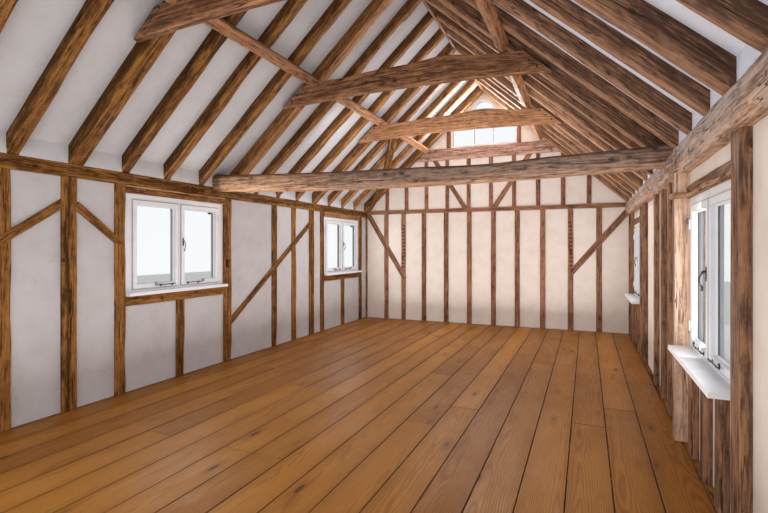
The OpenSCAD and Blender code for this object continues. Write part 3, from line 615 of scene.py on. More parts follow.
class HallColours(bpy.types.PropertyGroup):
    golden: colour("Golden timber", "Light bands of the left rafters and posts", (0.338, 0.149, 0.039))
    golden_dark: colour("Golden timber, dark", "Dark bands of the same", (0.078, 0.029, 0.005))
    brown: colour("Brown timber", "Light bands of the right rafters and collars", (0.350, 0.184, 0.100))
    brown_dark: colour("Brown timber, dark", "Dark bands of the same", (0.112, 0.057, 0.036))
    red: colour("Red timber", "Light bands of the gable frame and purlins", (0.350, 0.172, 0.098))
    red_dark: colour("Red timber, dark", "Dark bands of the same", (0.120, 0.050, 0.028))
    grey: colour("Grey timber", "Light bands of the tie beam", (0.440, 0.285, 0.200))
    grey_dark: colour("Grey timber, dark", "Dark bands of the same", (0.150, 0.086, 0.060))
    pine: colour("Floor pine", "Pale wood of the floor boards", (0.400, 0.165, 0.022))
    pine_dark: colour("Floor pine, dark", "Ring lines of the floor boards", (0.180, 0.060, 0.008))
    white: colour("White plaster", "Left walls and roof lining", (0.515, 0.500, 0.510))
    white_stain: colour("White plaster stain", "Blotches on the same", (0.455, 0.430, 0.430))
    lining: colour("Roof lining", "Plaster between the rafters", (0.525, 0.525, 0.540))
    lining_stain: colour("Roof lining stain", "Blotches on the same", (0.475, 0.460, 0.465))
    cool: colour("Cool lining", "Plaster between the right rafters", (0.700, 0.730, 0.820))
    cool_stain: colour("Cool lining stain", "Blotches on the same", (0.620, 0.630, 0.700))
    warm: colour("Warm plaster", "Gable and right wall plaster", (0.740, 0.665, 0.595))
    warm_stain: colour("Warm plaster stain", "Blotches on the same", (0.680, 0.575, 0.505))
    paint: colour("White paint", "Window frames and sills", (0.76, 0.78, 0.81))
    orange: colour("Orange timber", "Light bands of the collars", (0.44, 0.215, 0.105))
    orange_dark: colour("Orange timber, dark", "Dark bands of the same", (0.135, 0.060, 0.030))
    pink: colour("Pink timber", "Light bands of the gable's collar", (0.66, 0.43, 0.33))
    pink_dark: colour("Pink timber, dark", "Dark bands of the same", (0.24, 0.125, 0.085))
    # A lit copy of the brown timber: painted light from the window on the broad post's near face
    pale: colour("Pale timber", "Light bands of the broad right post", (0.80, 0.56, 0.42))
    pale_dark: colour("Pale timber, dark", "Dark bands of the same", (0.56, 0.36, 0.25))
    limed: colour("Limed timber", "Light bands of the right wall plate", (0.47, 0.36, 0.30))
    limed_dark: colour("Limed timber, dark", "Dark bands of the same", (0.12, 0.065, 0.042))
    tile: colour("Clay", "Light clay of the roof tiles", (0.42, 0.17, 0.09))
    tile_dark: colour("Clay, dark", "Dark fired clay", (0.17, 0.065, 0.04))
    iron: colour("Iron", "Handles and stays", (0.035, 0.033, 0.032))
    # Painted shadow: the grey strip stands for the shadow in the gap between casement and frame
    seal: colour("Seal", "Grey strip round the casements", (0.40, 0.42, 0.46))
    glass: colour("Glass", "Tint of the panes", (0.93, 0.96, 0.98))
    stage: colour("Stage", "Pale floor under the hall", (0.80, 0.80, 0.79))


class HallOperator:
    bl_options = {"REGISTER", "UNDO"}

    @property
    def sizes(self):
        return bpy.context.scene.hall_sizes

    @property
    def colours(self):
        return bpy.context.scene.hall_colours


class HALL_OT_finishes(HallOperator, bpy.types.Operator):
    """Makes the finishes that the pieces share"""
    bl_idname = "hall.finishes"
    bl_label = "Finishes"

    def execute(self, context):
        brown, brown_dark = tuple(self.colours.brown), tuple(self.colours.brown_dark)
        for shade, settings in {
                "golden": {}, "brown": {}, "red": {}, "grey": {"weathered": 0.2}, "orange": {},
                # pale is a lit copy, painted light; its second run is the plain brown
                "pink": {}, "pale": {"honey": (scaled(brown_dark, 0.6), brown_dark, brown)},
                "limed": {"weathered": 0.5}}.items():
            self.make(f"{shade}_timber", timber, shade, f"{shade}_dark", **settings)
        for name, shade, axes, gloss in (
                ("joist", "brown", (0, 1, 2), 0.7), ("sole", "golden", (1, 0, 2), 0.65),
                ("gable_sole", "golden", (0, 1, 2), 0.65), ("ridge", "brown", (1, 0, 2), 0.55)):
            self.make(f"{name}_timber", timber, shade, f"{shade}_dark", axes=axes, gloss=gloss)
        self.make("floor_pine", pine, "pine", "pine_dark")
        for shade, cracks in (("white", 0.15), ("lining", 0.15), ("cool", 0.15), ("warm", 0.1)):
            self.make(f"{shade}_plaster", plaster, shade, f"{shade}_stain", crack_share=cracks)
        self.make("roof_tile", clay, "tile", "tile_dark")
        for name, recipe, shade in (
                ("white_paint", paint, "paint"), ("seal", paint, "seal"), ("iron", iron, "iron"),
                ("glazing", glazing, "glass"), ("stage_floor", stage_paint, "stage")):
            self.make(name, recipe, shade)
        return {"FINISHED"}

    def make(self, name, recipe, *shades, **settings):
        """Follows a recipe with colours that the user can change."""
        shades = [tuple(getattr(self.colours, shade)) for shade in shades]
        FINISHES[name] = recipe(Shading(bpy.data.materials.new(name)), *shades, **settings)


class HALL_OT_packed_nodes(HallOperator, bpy.types.Operator):
    """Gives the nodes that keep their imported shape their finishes"""
    bl_idname = "hall.packed_nodes"
    bl_label = "Plaster, paint and glass"

    def execute(self, context):
        for finish, nodes in {
                "white_plaster": ("left_plaster",),
                "lining_plaster": ("left_roof_lining", "left_eaves_plaster"),
                "cool_plaster": ("right_roof_lining", "right_eaves_plaster"),
                "warm_plaster": ("right_plaster", "gable_plaster"),
                "white_paint": ("left_window_frames", "right_window_frames", "gable_window_frame",
                                "left_window_sills", "right_window_sills"),
                "glazing": ("left_window_glass", "right_window_glass", "gable_window_glass"),
                "joist_timber": ("floor_joists",),
                "sole_timber": ("left_sole_plate", "right_sole_plate"),
                "gable_sole_timber": ("gable_sole_plate",),
                "ridge_timber": ("ridge_board",),
                "roof_tile": ("ridge_tiles",)}.items():
            for node in nodes:
                mesh = bpy.data.objects[node].data
                mesh.materials.clear()
                mesh.materials.append(FINISHES[finish])
        return {"FINISHED"}


class HALL_OT_rafters(HallOperator, bpy.types.Operator):
    """Hews the common and principal rafters of both slopes"""
    bl_idname = "hall.rafters"
    bl_label = "Rafters"

    def execute(self, context):
        for hand, name, slot in ((-1, "left", "golden_timber"), (1, "right", "brown_timber")):
            for principal, kind in ((False, "common"), (True, "principal")):
                heap = Heap()
                rafters(heap, hand, principal, 100 + 40 * hand + 300 * principal)
                heap.build(f"{name}_{kind}_rafters_hewn", slot, f"{name}_{kind}_rafters")
        return {"FINISHED"}


class HALL_OT_collars(HallOperator, bpy.types.Operator):
    """Hews the cambered collars with their waney tops and pegs"""
    bl_idname = "hall.collars"
    bl_label = "Collars"

    def execute(self, context):
        heap, pegs = Heap(), Heap()
        tip = HALF_W - (COLLAR_Z - RAFTER_UNDER - RAFTER_SHOW) / PITCH
        heel = tip - COLLAR_D / PITCH
        u = np.linspace(-1.0, 1.0, 56)
        gap = np.where(u < 0, COLLAR_GAPS[-1], COLLAR_GAPS[1])
        arc = CAMBER * (1 - u * u)
        wane = HUMP * (np.exp(-((u - 0.34) / 0.2) ** 2) - 0.3 * np.exp(-((u + 0.55) / 0.12) ** 2))
        for bay in range(4):
            y = truss_y(bay) - (PRINCIPAL_W + COLLAR_T) / 2
            low, high = (np.stack([u * (reach - gap), np.full_like(u, y), rim], 1) for reach, rim in (
                (tip, COLLAR_Z + arc), (heel, COLLAR_Z + COLLAR_D + arc + wane)))
            rise = high - low
            depth = np.linalg.norm(rise, axis=1)
            hewn(heap, (low + high) / 2, Y, rise / depth[:, None], COLLAR_T, depth, 900 + bay,
                 wane=0.022, wobble=0.002)
            for hand in (-1, 1):
                for i in range(3):
                    z = COLLAR_Z + (i + 0.9) * 0.3 * COLLAR_D
                    x = hand * (HALF_W - (z - RAFTER_UNDER - RAFTER_SHOW) / PITCH
                                - COLLAR_GAPS[hand] - PEG_IN)
                    boss(pegs, (x, y - COLLAR_T / 2, z), -Y, PEG_W, PEG_W, PEG_RISE)
        heap.build("collars_hewn", "brown_timber", "collars", finish="orange_timber")
        pegs.build("collar_pegs", "brown_timber", finish="iron")
        return {"FINISHED"}


def boss(heap, centre, facing, width, height, rise, power=1.0):
    """A low dome on a face: rings of a superellipse that shrink as they rise. Power 1 gives a
    round peg's end, and less than 1 a plate with rounded corners."""
    facing = np.asarray(facing, float)
    side = np.cross(facing, Z)
    side /= np.linalg.norm(side)
    angle = np.linspace(0, 2 * math.pi, 12, endpoint=False)[:, None]
    outline = (rounded(np.cos(angle), power) * side * width
               + rounded(np.sin(angle), power) * np.cross(side, facing) * height) / 2
    rings = [np.asarray(centre) + facing * lift + outline * share for share, lift in (
        (1.0, -0.006), (1.0, 0.6 * rise), (0.85, 0.9 * rise), (0.3, rise))]
    heap.add(np.concatenate(rings), rings_to_quads(4, 12), tone=0.5)


def tube(heap, path, flat, radius):
    """A round bar swept along a path in one plane, whose normal is flat: rings stand square to
    its heading, and both ends are rounded by two smaller rings."""
    path = np.asarray(path, float)
    flat = np.asarray(flat, float)
    radius = np.broadcast_to(radius, len(path))
    heading = np.gradient(path, axis=0)
    heading /= np.linalg.norm(heading, axis=1)[:, None]
    first = path[:1] - heading[:1] * radius[0] * 0.6
    last = path[-1:] + heading[-1:] * radius[-1] * 0.6
    centres = np.concatenate([first, path, last])
    heading = np.concatenate([heading[:1], heading, heading[-1:]])
    radius = np.concatenate([radius[:1] * 0.5, radius, radius[-1:] * 0.5])
    angle = np.linspace(0, 2 * math.pi, 10, endpoint=False)[None, :, None]
    up = np.cross(heading, flat)[:, None]
    points = centres[:, None] + radius[:, None, None] * (np.cos(angle) * flat + np.sin(angle) * up)
    heap.add(points.reshape(-1, 3), rings_to_quads(len(centres), 10), tone=0.5)


class HALL_OT_tie_beam(HallOperator, bpy.types.Operator):
    """Shapes the rough tie beam with its sag, swellings and drying shakes"""
    bl_idname = "hall.tie_beam"
    bl_label = "Tie beam"

    def execute(self, context):
        stations, sides = 190, 56
        half = OUTER_X - 0.030
        x = np.linspace(-half, half, stations)[:, None]
        u = x / OUTER_X
        angle = (np.arange(sides) + 0.5)[None, :] * 2 * math.pi / sides
        low = TIE_LOW + TIE_SAG * u * u - TIE_TILT * u
        depth = TIE_D - TIE_TAPER * u - TIE_HOLLOW * np.exp(-((u - 0.33) / 0.16) ** 2)
        swell = 1.0 + 0.020 * ripple(x * 0.9, angle, 41) + 0.012 * ripple(x * 3.2, angle * 3, 42)
        # Shakes: grooves that wind slowly round the trunk as they run along it
        groove = 0.0
        rng = np.random.default_rng(7)
        for _ in range(15):
            start, turn = rng.uniform(-2.2, 2.0), rng.uniform(0, 2 * math.pi)
            reach = rng.uniform(0.08, 0.34)
            away = angle - turn - (x - start) * rng.uniform(1.5, 4.0)
            away = (away + math.pi) % (2 * math.pi) - math.pi
            groove = groove + np.exp(-(away / 0.05) ** 2) * np.exp(-((x - start) / reach) ** 4)
        swell = swell - 0.055 * np.minimum(groove, 1.0)
        y = TIE_Y + TIE_HALF_T * rounded(np.cos(angle), 0.62) * swell
        z = low + depth / 2 + depth / 2 * rounded(np.sin(angle), 0.62) * swell
        z = np.minimum(z, under(x) + RAFTER_SHOW - 0.002)
        points = np.stack([np.broadcast_to(x, y.shape), y, z], -1)
        grain = points - (0.0, TIE_Y + 0.02, FLOOR + 1.95)
        # Painted light on the underside and the left part, painted shade on the top and a painted
        # shadow at the left end
        underside = np.clip((-np.sin(angle) - 0.35) / 0.5, 0.0, 1.0)
        left_part = np.clip((-0.55 - x) / 0.9, 0.0, 0.85)
        golden = np.clip(underside * (0.6 + 0.2 * np.sin(3.0 * x)) + left_part, 0.0, 1.0)
        tint = 0.55 - 1.3 * np.clip((np.sin(angle) - 0.45) / 0.4, 0.0, 1.0) + 0.0 * x
        painted_end_shadow = np.clip((-2.06 - x) / 0.06, 0.0, 0.7) + 0.0 * angle
        heap = Heap()
        heap.add(points.reshape(-1, 3), rings_to_quads(stations, sides),
                 grain=grain.reshape(-1, 3), tone=tint.ravel(), wear=0.0, sunk=painted_end_shadow.ravel(),
                 golden=golden.ravel())
        heap.build("tie_beam_trunk", "grey_timber", "tie_beam", smooth=60)
        return {"FINISHED"}


class HALL_OT_purlins(HallOperator, bpy.types.Operator):
    """Hews the purlins of both slopes and the curved wind brace"""
    bl_idname = "hall.purlins"
    bl_label = "Purlins and wind brace"

    def execute(self, context):
        for hand, name in ((-1, "left"), (1, "right")):
            heap = Heap()
            x = PURLIN_X[hand]
            out, along = mirrored(OUTWARD, hand), mirrored(ALONG, hand)
            middle = np.array([hand * x, 0.0, under(x)]) - out * PURLIN / 2
            for bay in range(4):
                y0 = truss_y(bay) + PRINCIPAL_W / 2
                y1 = truss_y(bay + 1) - PRINCIPAL_W / 2 - (COLLAR_T if bay < 3 else 0.0)
                straight(heap, middle + Y * y0, middle + Y * y1, along, out, PURLIN, PURLIN,
                         600 + 10 * hand + bay, wane=0.02, wobble=0.002, tint=0.7)
            heap.build(f"{name}_purlins_hewn", "red_timber", f"{name}_purlins",
                       finish="orange_timber")
        heap = Heap()
        u = np.linspace(0.03, 1.0, 44)[:, None]
        s0, s1 = -HALF_W * SLOPE - 0.06, -PURLIN_X[-1] * SLOPE - PURLIN / 2
        y0, y1 = GABLE_Y + 0.06, truss_y(3) + 0.8 * SPACING
        s = s0 + (s1 - s0) * u
        y = y0 + (y1 - y0) * u + 4 * WIND_BRACE_BOW * u * (1 - u)
        y = np.minimum(y, GABLE_Y - 0.01)
        centres = under(0.0) * Z + s * ALONG + y * Y - WIND_BRACE_T / 2 * OUTWARD
        heading = np.gradient(centres, axis=0)
        side = np.cross(heading, OUTWARD)
        side /= np.linalg.norm(side, axis=1)[:, None]
        width = WIND_BRACE_W * (0.8 + 0.35 * u[:, 0])
        hewn(heap, centres, side, OUTWARD, width, WIND_BRACE_T, 77, wane=0.012)
        heap.build("left_wind_brace_hewn", "golden_timber", "left_wind_brace")
        return {"FINISHED"}


class HALL_OT_side_frames(HallOperator, bpy.types.Operator):
    """Hews the plates, posts, studs, braces and rails of both side walls"""
    bl_idname = "hall.side_frames"
    bl_label = "Side wall frames"

    def execute(self, context):
        self.wall("left", -1, "golden_timber", 0.106, (3, 10, 11))
        self.wall("right", 1, "brown_timber", 0.165, (2, 9, 10))
        return {"FINISHED"}

    def wall(self, name, hand, slot, plate_d, bays):
        x = hand * (HALF_W + WALL_T / 2)
        seed = 2000 + 500 * hand
        count = iter(range(1000))
        windows, width = WINDOWS[hand], WINDOW_W[hand]
        sill, head, plate_low = SILL[hand], HEAD[hand], PLATE_TOP - plate_d
        plate, posts, studs, braces, rails = (Heap() for _ in range(5))

        def upright(heap, y, w, high=plate_low, thin=0.0, reach=0.0, **extra):
            middle = x - hand * reach / 2
            straight(heap, (middle, y, FLOOR), (middle, y, high), Y, X, w, WALL_T - thin + reach,
                     seed + next(count), wane=0.018, wobble=0.0025, **extra)

        def level(y, low, high, back=0.0, wane=0.012, **extra):
            ends = ((x + hand * back / 2, y + way * width / 2, (low + high) / 2) for way in (-1, 1))
            straight(rails, *ends, X, Z, WALL_T - RAIL_BACK - back, high - low,
                     seed + next(count), wane=wane, **extra)

        def brace(a, b, thin, number, **extra):
            bar(braces, "side", a, b, BRACE_W, x, WALL_T - thin, seed + number, **extra)

        z, reach = PLATE_TOP - plate_d / 2, 0.0 if hand < 0 else RIGHT_PLATE_REACH
        inner = x - hand * reach / 2
        straight(plate, (inner, NEAR_Y, z), (inner, GABLE_Y, z), X, Z, WALL_T + reach, plate_d, seed,
                 wane=0.022 + reach * 0.6, wobble=0.002 + reach * 0.12, soft=(1, 1, 1, 0.5),
                 golden=np.array([0] * 6 + [0.35, 0.7] + [0.8] * 4 + [0] * 4) * (hand > 0))
        straight(plate, (x, GABLE_Y, z), (x, FAR_Y, z), X, Z, WALL_T, plate_d, seed)
        for bay in range(4):
            # One left post has an empty mortise, its floor coloured darker as painted shade
            marks = [(1.08, 1.17, 0, 0.02)] if hand < 0 and bay == 2 else []
            # Painted shade on the left posts' near faces and the near edge of their room faces, darkest
            # on the second post
            shade = 0.0 if hand > 0 else (-1.2 if bay == 1 else -0.5)
            upright(posts, post_y(bay), POST_W, hollows=marks,
                    tint=np.array([0, 0] + [shade] * 6 + [0] * 8),
                    soft=(0.6, 1.7, 0.3, 0.3) if hand < 0 else (0.3, 0.3, 1, 1))
        upright(posts, FAR_Y - WALL_T / 2, WALL_T)
        for k in bays:
            upright(studs, rafter_y(k) - STUD_LEAD, STUD_W, thin=STUD_BACK)
        for way in (-1, 1):
            upright(studs, windows[1] + way * (width + STUD_W) / 2, STUD_W, thin=JAMB_BACK)
        if hand < 0:
            upright(studs, windows[0] - (width + STUD_W) / 2, STUD_W, thin=JAMB_BACK)
            for y in windows:
                upright(studs, y, STUD_W, sill - SILL_RAIL_D, JAMB_BACK)
                level(y, head, plate_low, golden=0.25)
                # A pale strip over the lintel, a painted highlight along its top arris
                ends = ((x + WALL_T / 2 + 0.001, y + way * width / 2, plate_low - 0.006)
                        for way in (-1, 1))
                straight(rails, *ends, X, Z, 0.010, 0.011, seed + 96, golden=1.0)
                level(y, sill - SILL_RAIL_D, sill)
            z, half = LEFT_BRACE_TOP, POST_W / 2
            for bay in (1, 3):
                run = post_y(bay) - post_y(bay - 1)
                foot = (post_y(bay) - run, z - LONG_BRACE_FALL * (run - half))
                brace((post_y(bay) - half, z), foot, 0.002, 70 + bay, wane=0.014)
            run = windows[0] - (width + STUD_W) / 2 - post_y(1)
            foot = (post_y(1) + run, z - SHORT_BRACE_FALL * (run - half))
            brace((post_y(1) + half, z), foot, 0.002, 80, wane=0.014)
        else:
            upright(studs, windows[0] - (width + JAMB_W) / 2, JAMB_W, thin=RAIL_BACK)
            # The broad post's pale finish paints the window's light on its near face; golden takes its
            # other faces back to the plain brown
            broad = Heap()
            upright(broad, windows[0] + (width + STUD_W) / 2, STUD_W, reach=RIGHT_POST_REACH,
                    golden=np.array([1.0] * 4 + [0.8] + [0.0] * 4 + [0.5] + [1.0] * 6))
            broad.build("right_broad_post_hewn", slot, finish="pale_timber")
            for y in windows:
                for way in (-1, 0, 1):
                    upright(studs, y + way * width / 3.4, STUD_W, sill, RAIL_BACK)
                level(y, head, HEAD_RAIL, HEAD_RAIL_BACK, wane=0.02)
            # A waney strip that crosses the broad post and then follows the window's head
            edge = windows[0] + width / 2
            far_edge = edge + STUD_W
            y = np.linspace(far_edge + 0.02, edge - width + 0.02, 46)
            bend = np.clip((edge + 0.01 - y) / 0.11, 0.0, 1.0)
            inward = (RIGHT_POST_REACH + HEAD_RAIL_BACK) * bend ** 2 * (3 - 2 * bend)
            path = np.stack([HALF_W - RIGHT_POST_REACH - 0.006 + inward, y,
                             head + 0.018 + 0.006 * np.sin(9.0 * y)], 1)
            hewn(rails, path, X, Z, 0.016, 0.042 - 0.014 * bend, seed + 95, wane=0.012, golden=0.8)
            z = RIGHT_BRACE_TOP + POST_W / 2
            brace((post_y(2) - POST_W / 2, z - POST_W / 2),
                  (far_edge - STUD_W / 2, z - (post_y(2) - far_edge) - STUD_W / 2), 0.004, 70)
        for heap, kind in ((plate, "wall_plate"), (posts, "posts"), (studs, "studs"),
                           (braces, "braces"), (rails, "window_rails")):
            limed = hand > 0 and kind == "wall_plate"
            heap.build(f"{name}_{kind}_hewn", slot, f"{name}_{kind}",
                       finish="limed_timber" if limed else None)


class HALL_OT_gable_frame(HallOperator, bpy.types.Operator):
    """Hews the rail, collar, studs and braces of the gable"""
    bl_idname = "hall.gable_frame"
    bl_label = "Gable frame"

    def execute(self, context):
        rail, collar, low_studs, high_studs, low_braces, high_braces = (Heap() for _ in range(6))
        y = GABLE_Y + WALL_T / 2
        middle = (MID_RAIL_LOW + MID_RAIL_HIGH) / 2
        straight(rail, (-HALF_W, y, middle), (HALF_W, y, middle), Y, Z, WALL_T,
                 MID_RAIL_HIGH - MID_RAIL_LOW, 3000, wane=0.014)
        reach = HALF_W - (GABLE_COLLAR_LOW - RAFTER_UNDER - RAFTER_DEPTH) / PITCH
        x = np.linspace(-reach, reach, 50) * 0.995
        top = np.minimum(GABLE_COLLAR_HIGH, under(x) + RAFTER_DEPTH)
        centres = np.stack([x, np.full_like(x, y), (GABLE_COLLAR_LOW + top) / 2], 1)
        hewn(collar, centres, Y, Z, WALL_T, top - GABLE_COLLAR_LOW, 3001, wane=0.015)

        def stud(heap, place, low, high, w, seed, **extra):
            straight(heap, (place, y, low), (place, y, high), X, Y, w, WALL_T - 0.008, seed, **extra)

        def roof_over(place):
            return under(abs(place) + UPPER_STUD_W / 2) + RAFTER_DEPTH

        # Ladder notches in two lower studs, their floors coloured darker as painted shade
        ladder = [(start, start + 0.022, 2, 0.012) for start in np.arange(0.95, 1.70, 0.062)]
        for i, place in enumerate(LOWER_STUDS):
            stud(low_studs, place, FLOOR, MID_RAIL_LOW, LOWER_STUD_W, 3010 + i, wane=0.018,
                 hollows=ladder if i in (1, 8) else ())
        for i, place in enumerate(UPPER_STUDS):
            stud(high_studs, place, MID_RAIL_HIGH, min(GABLE_COLLAR_LOW, roof_over(place)),
                 UPPER_STUD_W, 3030 + i, wane=0.014)
        for way in (-1, 1):
            place = way * (GABLE_WINDOW_W + UPPER_STUD_W) / 2 + GABLE_WINDOW_X
            stud(high_studs, place, GABLE_COLLAR_HIGH, roof_over(place), UPPER_STUD_W, 3050 + way,
                 wane=0.012)
        w = LOWER_BRACE_W
        for i, (a, b) in enumerate((
                ((-HALF_W, MID_RAIL_LOW + w / 2), (LOWER_STUDS[1] + w / 4, LOWER_BRACE_FEET[0])),
                ((HALF_W, MID_RAIL_LOW - w / 2), (LOWER_STUDS[8], LOWER_BRACE_FEET[1])))):
            bar(low_braces, "cross", a, b, w, y, WALL_T - 0.002, 3060 + i)
        for i, (head, foot) in enumerate(UPPER_BRACES):
            bar(high_braces, "cross", (head, GABLE_COLLAR_LOW + 0.020),
                (foot, MID_RAIL_HIGH - 0.020), UPPER_BRACE_W, y, WALL_T - 0.002, 3070 + i)
        for heap, kind in ((rail, "mid_rail"), (collar, "collar"), (low_studs, "lower_studs"),
                           (high_studs, "upper_studs"), (low_braces, "lower_braces"),
                           (high_braces, "upper_braces")):
            heap.build(f"gable_{kind}_hewn", "red_timber", f"gable_{kind}",
                       finish="pink_timber" if kind == "collar" else None)
        return {"FINISHED"}


def bead(heap, x, hand, y0, y1, z0, z1, size):
    """A quarter-round strip round a pane, mitred at its four corners: rings of its section stand
    in the corners, and the last one joins the first."""
    turn = np.linspace(0.0, math.pi / 2, 5)
    across = np.concatenate([[-0.002], size * np.cos(turn), [-0.002]])
    out = np.concatenate([[0.0], size * np.sin(turn), [size]])
    rings = [np.stack([x - hand * out, y + to_y * across, z + to_z * across], 1)
             for y, z, to_y, to_z in (
                 (y0, z0, 1, 1), (y1, z0, -1, 1), (y1, z1, -1, -1), (y0, z1, 1, -1))]
    n = len(across)
    i, j = np.arange(4)[:, None], np.arange(n)[None, :]
    k, following = (j + 1) % n, (i + 1) % 4
    quads = np.stack([i * n + j, i * n + k, following * n + k, following * n + j], -1).reshape(-1, 4)
    heap.add(np.concatenate(rings), quads, tone=0.5)


class HALL_OT_window_fittings(HallOperator, bpy.types.Operator):
    """Sets glazing beads round the panes, and handles, stays and hinges on the casements"""
    bl_idname = "hall.window_fittings"
    bl_label = "Window fittings"

    def execute(self, context):
        for hand, name in ((-1, "left"), (1, "right")):
            beads, irons, seals = Heap(), Heap(), Heap()
            for y in WINDOWS[hand]:
                for way in (-1, 1):
                    self.casement(beads, irons, seals, hand, y, way)
            beads.build(f"{name}_glazing_beads", "white_paint")
            irons.build(f"{name}_window_irons", "white_paint", finish="iron")
            seals.build(f"{name}_casement_seals", "white_paint", finish="seal")
        return {"FINISHED"}

    def casement(self, beads, irons, seals, hand, y, way):
        room = hand * (HALF_W + WINDOW_BACK[hand])
        face = room - hand * CASEMENT_REACH
        pane = room + hand * PANE_BACK
        stile = y + way * (MULLION_W / 2 + CASEMENT_W / 2)
        hinge_side = y + way * (WINDOW_W[hand] / 2 - UPRIGHT_W)
        low, high = SILL[hand] + FRAME_W, HEAD[hand] - FRAME_W
        ys = sorted((y + way * (MULLION_W / 2 + CASEMENT_W), hinge_side - way * CASEMENT_W))
        z0, z1 = low + CASEMENT_W, high - CASEMENT_W
        bead(beads, pane, hand, *ys, z0, z1, BEAD_W)
        # A grey strip round each casement paints the shadow in the gap between casement and frame
        edges = sorted((y + way * (MULLION_W / 2 - GAP_SHADOW_W), hinge_side + way * GAP_SHADOW_W))
        bead(seals, room, hand, *edges, low - GAP_SHADOW_W, high + GAP_SHADOW_W, GAP_SHADOW_W)
        # Handle: a backplate, and a lever that hangs down and curls away from the frame
        middle = (low + high) / 2 + 0.03
        out = -hand * X
        if way > 0:
            boss(irons, (face, stile, middle), out, 0.020, 0.085, 0.004, 0.6)
            t = np.linspace(0.0, 1.0, 22)
            reach = 0.016 + 0.016 * np.sin(math.pi * np.minimum(t * 1.4, 1.0)) + 0.006 * t
            drop = middle + 0.012 - HANDLE_DROP * t + 0.020 * np.clip((t - 0.8) / 0.2, 0, 1) ** 2
            path = np.stack([face - hand * reach, np.full_like(t, stile), drop], 1)
            tube(irons, path, Y, 0.0045 + 0.003 * t ** 3)
            pivot = np.array([face, stile, middle + 0.012])
            tube(irons, [pivot, pivot + out * 0.020], Y, 0.006)
        # Stay along the bottom rail, with two pins and a curled end
        t = np.linspace(0.0, 1.0, 26)
        run = STAY_RUN * np.minimum(t / 0.75, 1.0)
        curl = np.clip((t - 0.75) / 0.25, 0, 1) * 4.4
        along = run + 0.012 * np.sin(curl)
        rise = 0.012 * (1 - np.cos(curl))
        path = np.stack([np.full_like(t, face - hand * 0.014), stile + way * (0.03 + along),
                         low + 0.022 + rise], 1)
        tube(irons, path, X, 0.004)
        for place in (0.06, 0.20):
            foot = np.array([face, stile + way * place, low + 0.016])
            boss(irons, foot, out, 0.016, 0.024, 0.003, 0.6)
            tube(irons, [foot, foot + out * 0.014, foot + out * 0.018 + Z * 0.012], Y, 0.0035)
        # Hinges: three knuckles on a pin, beside a long leaf
        for z in (low + 0.12, high - 0.12):
            spot = np.array([face, hinge_side, z])
            place = np.linspace(-1, 1, 13)
            knuckles = 0.0055 * (1 - 0.25 * (np.abs(place % 0.66 - 0.33) < 0.06))
            tube(beads, spot + out * 0.004 + Z * HINGE_HALF * place[:, None], Y, knuckles)
            boss(beads, spot - Y * way * 0.017, out, 0.026, 0.052, 0.002, 0.5)


def plank(heap, start, end, side, up, width, thickness, seed, cup=0.0):
    """One board: the length in stations, the section a rounded strip whose face is cupped by a
    small parabola. The growth rings' centre lies under the face."""
    start, end = np.asarray(start, float), np.asarray(end, float)
    rng = np.random.default_rng(seed)
    length = np.linalg.norm(end - start)
    n = max(3, int(length / 0.35) + 2)
    t = np.linspace(0.0, 1.0, n)
    a = np.array([-0.5, -0.485, -0.2, 0.2, 0.485, 0.5, 0.5, 0.485, -0.485, -0.5]) * width
    b = np.array([-0.10, 0.0, 0.0, 0.0, 0.0, -0.10, -0.9, -1.0, -1.0, -0.9]) * thickness
    b = b + np.where(b > -0.5 * thickness, cup * ((2 * a / width) ** 2 - 1.0), 0.0)
    wave = 0.0008 * np.sin(t * length * 1.7 + rng.uniform(0, 6))[:, None]
    path = start + (end - start) * t[:, None]
    points = (path[:, None] + np.asarray(side) * a[None, :, None]
              + np.asarray(up) * (b[None, :] + wave)[..., None])
    heart = np.array([rng.uniform(-0.08, 0.08), rng.uniform(0.03, 0.12)])
    grain = np.empty(points.shape)
    grain[..., 0] = (t * length + rng.uniform(0, 60))[:, None]
    grain[..., 1] = a[None] + heart[0]
    grain[..., 2] = b[None] + heart[1]
    wear = np.array([1.0, 0.25, 0, 0, 0.25, 1.0, 1, 1, 1, 1])[None] * np.ones((n, 1))
    heap.add(points.reshape(-1, 3), rings_to_quads(n, 10), grain=grain.reshape(-1, 3),
             tone=rng.uniform(0, 1), wear=wear.ravel())


class HALL_OT_floor(HallOperator, bpy.types.Operator):
    """Lays the pine boards along the hall, with open joints and staggered butt joints"""
    bl_idname = "hall.floor"
    bl_label = "Floor boards"

    def execute(self, context):
        heap = Heap()
        rng = np.random.default_rng(5)
        count = round(2 * HALF_W / self.sizes.board_width)
        width = 2 * HALF_W / count
        for i in range(count):
            x = -HALF_W + (i + 0.5) * width
            # The joint lies on a joist
            joint = NEAR_Y + SPACING * round(rng.uniform(1.6, 5.6) / SPACING) + 0.03
            for j, (near, far) in enumerate(((NEAR_Y, joint), (joint, GABLE_Y))):
                plank(heap, (x, near + 0.0015, FLOOR), (x, far - 0.0015, FLOOR), X, Z,
                      width - self.sizes.board_gap, FLOOR_HIGH.z - FLOOR_LOW.z, 50 + 2 * i + j,
                      cup=0.0012)
        heap.build("floor_boards_laid", "floor_pine", "floor_boards")
        return {"FINISHED"}


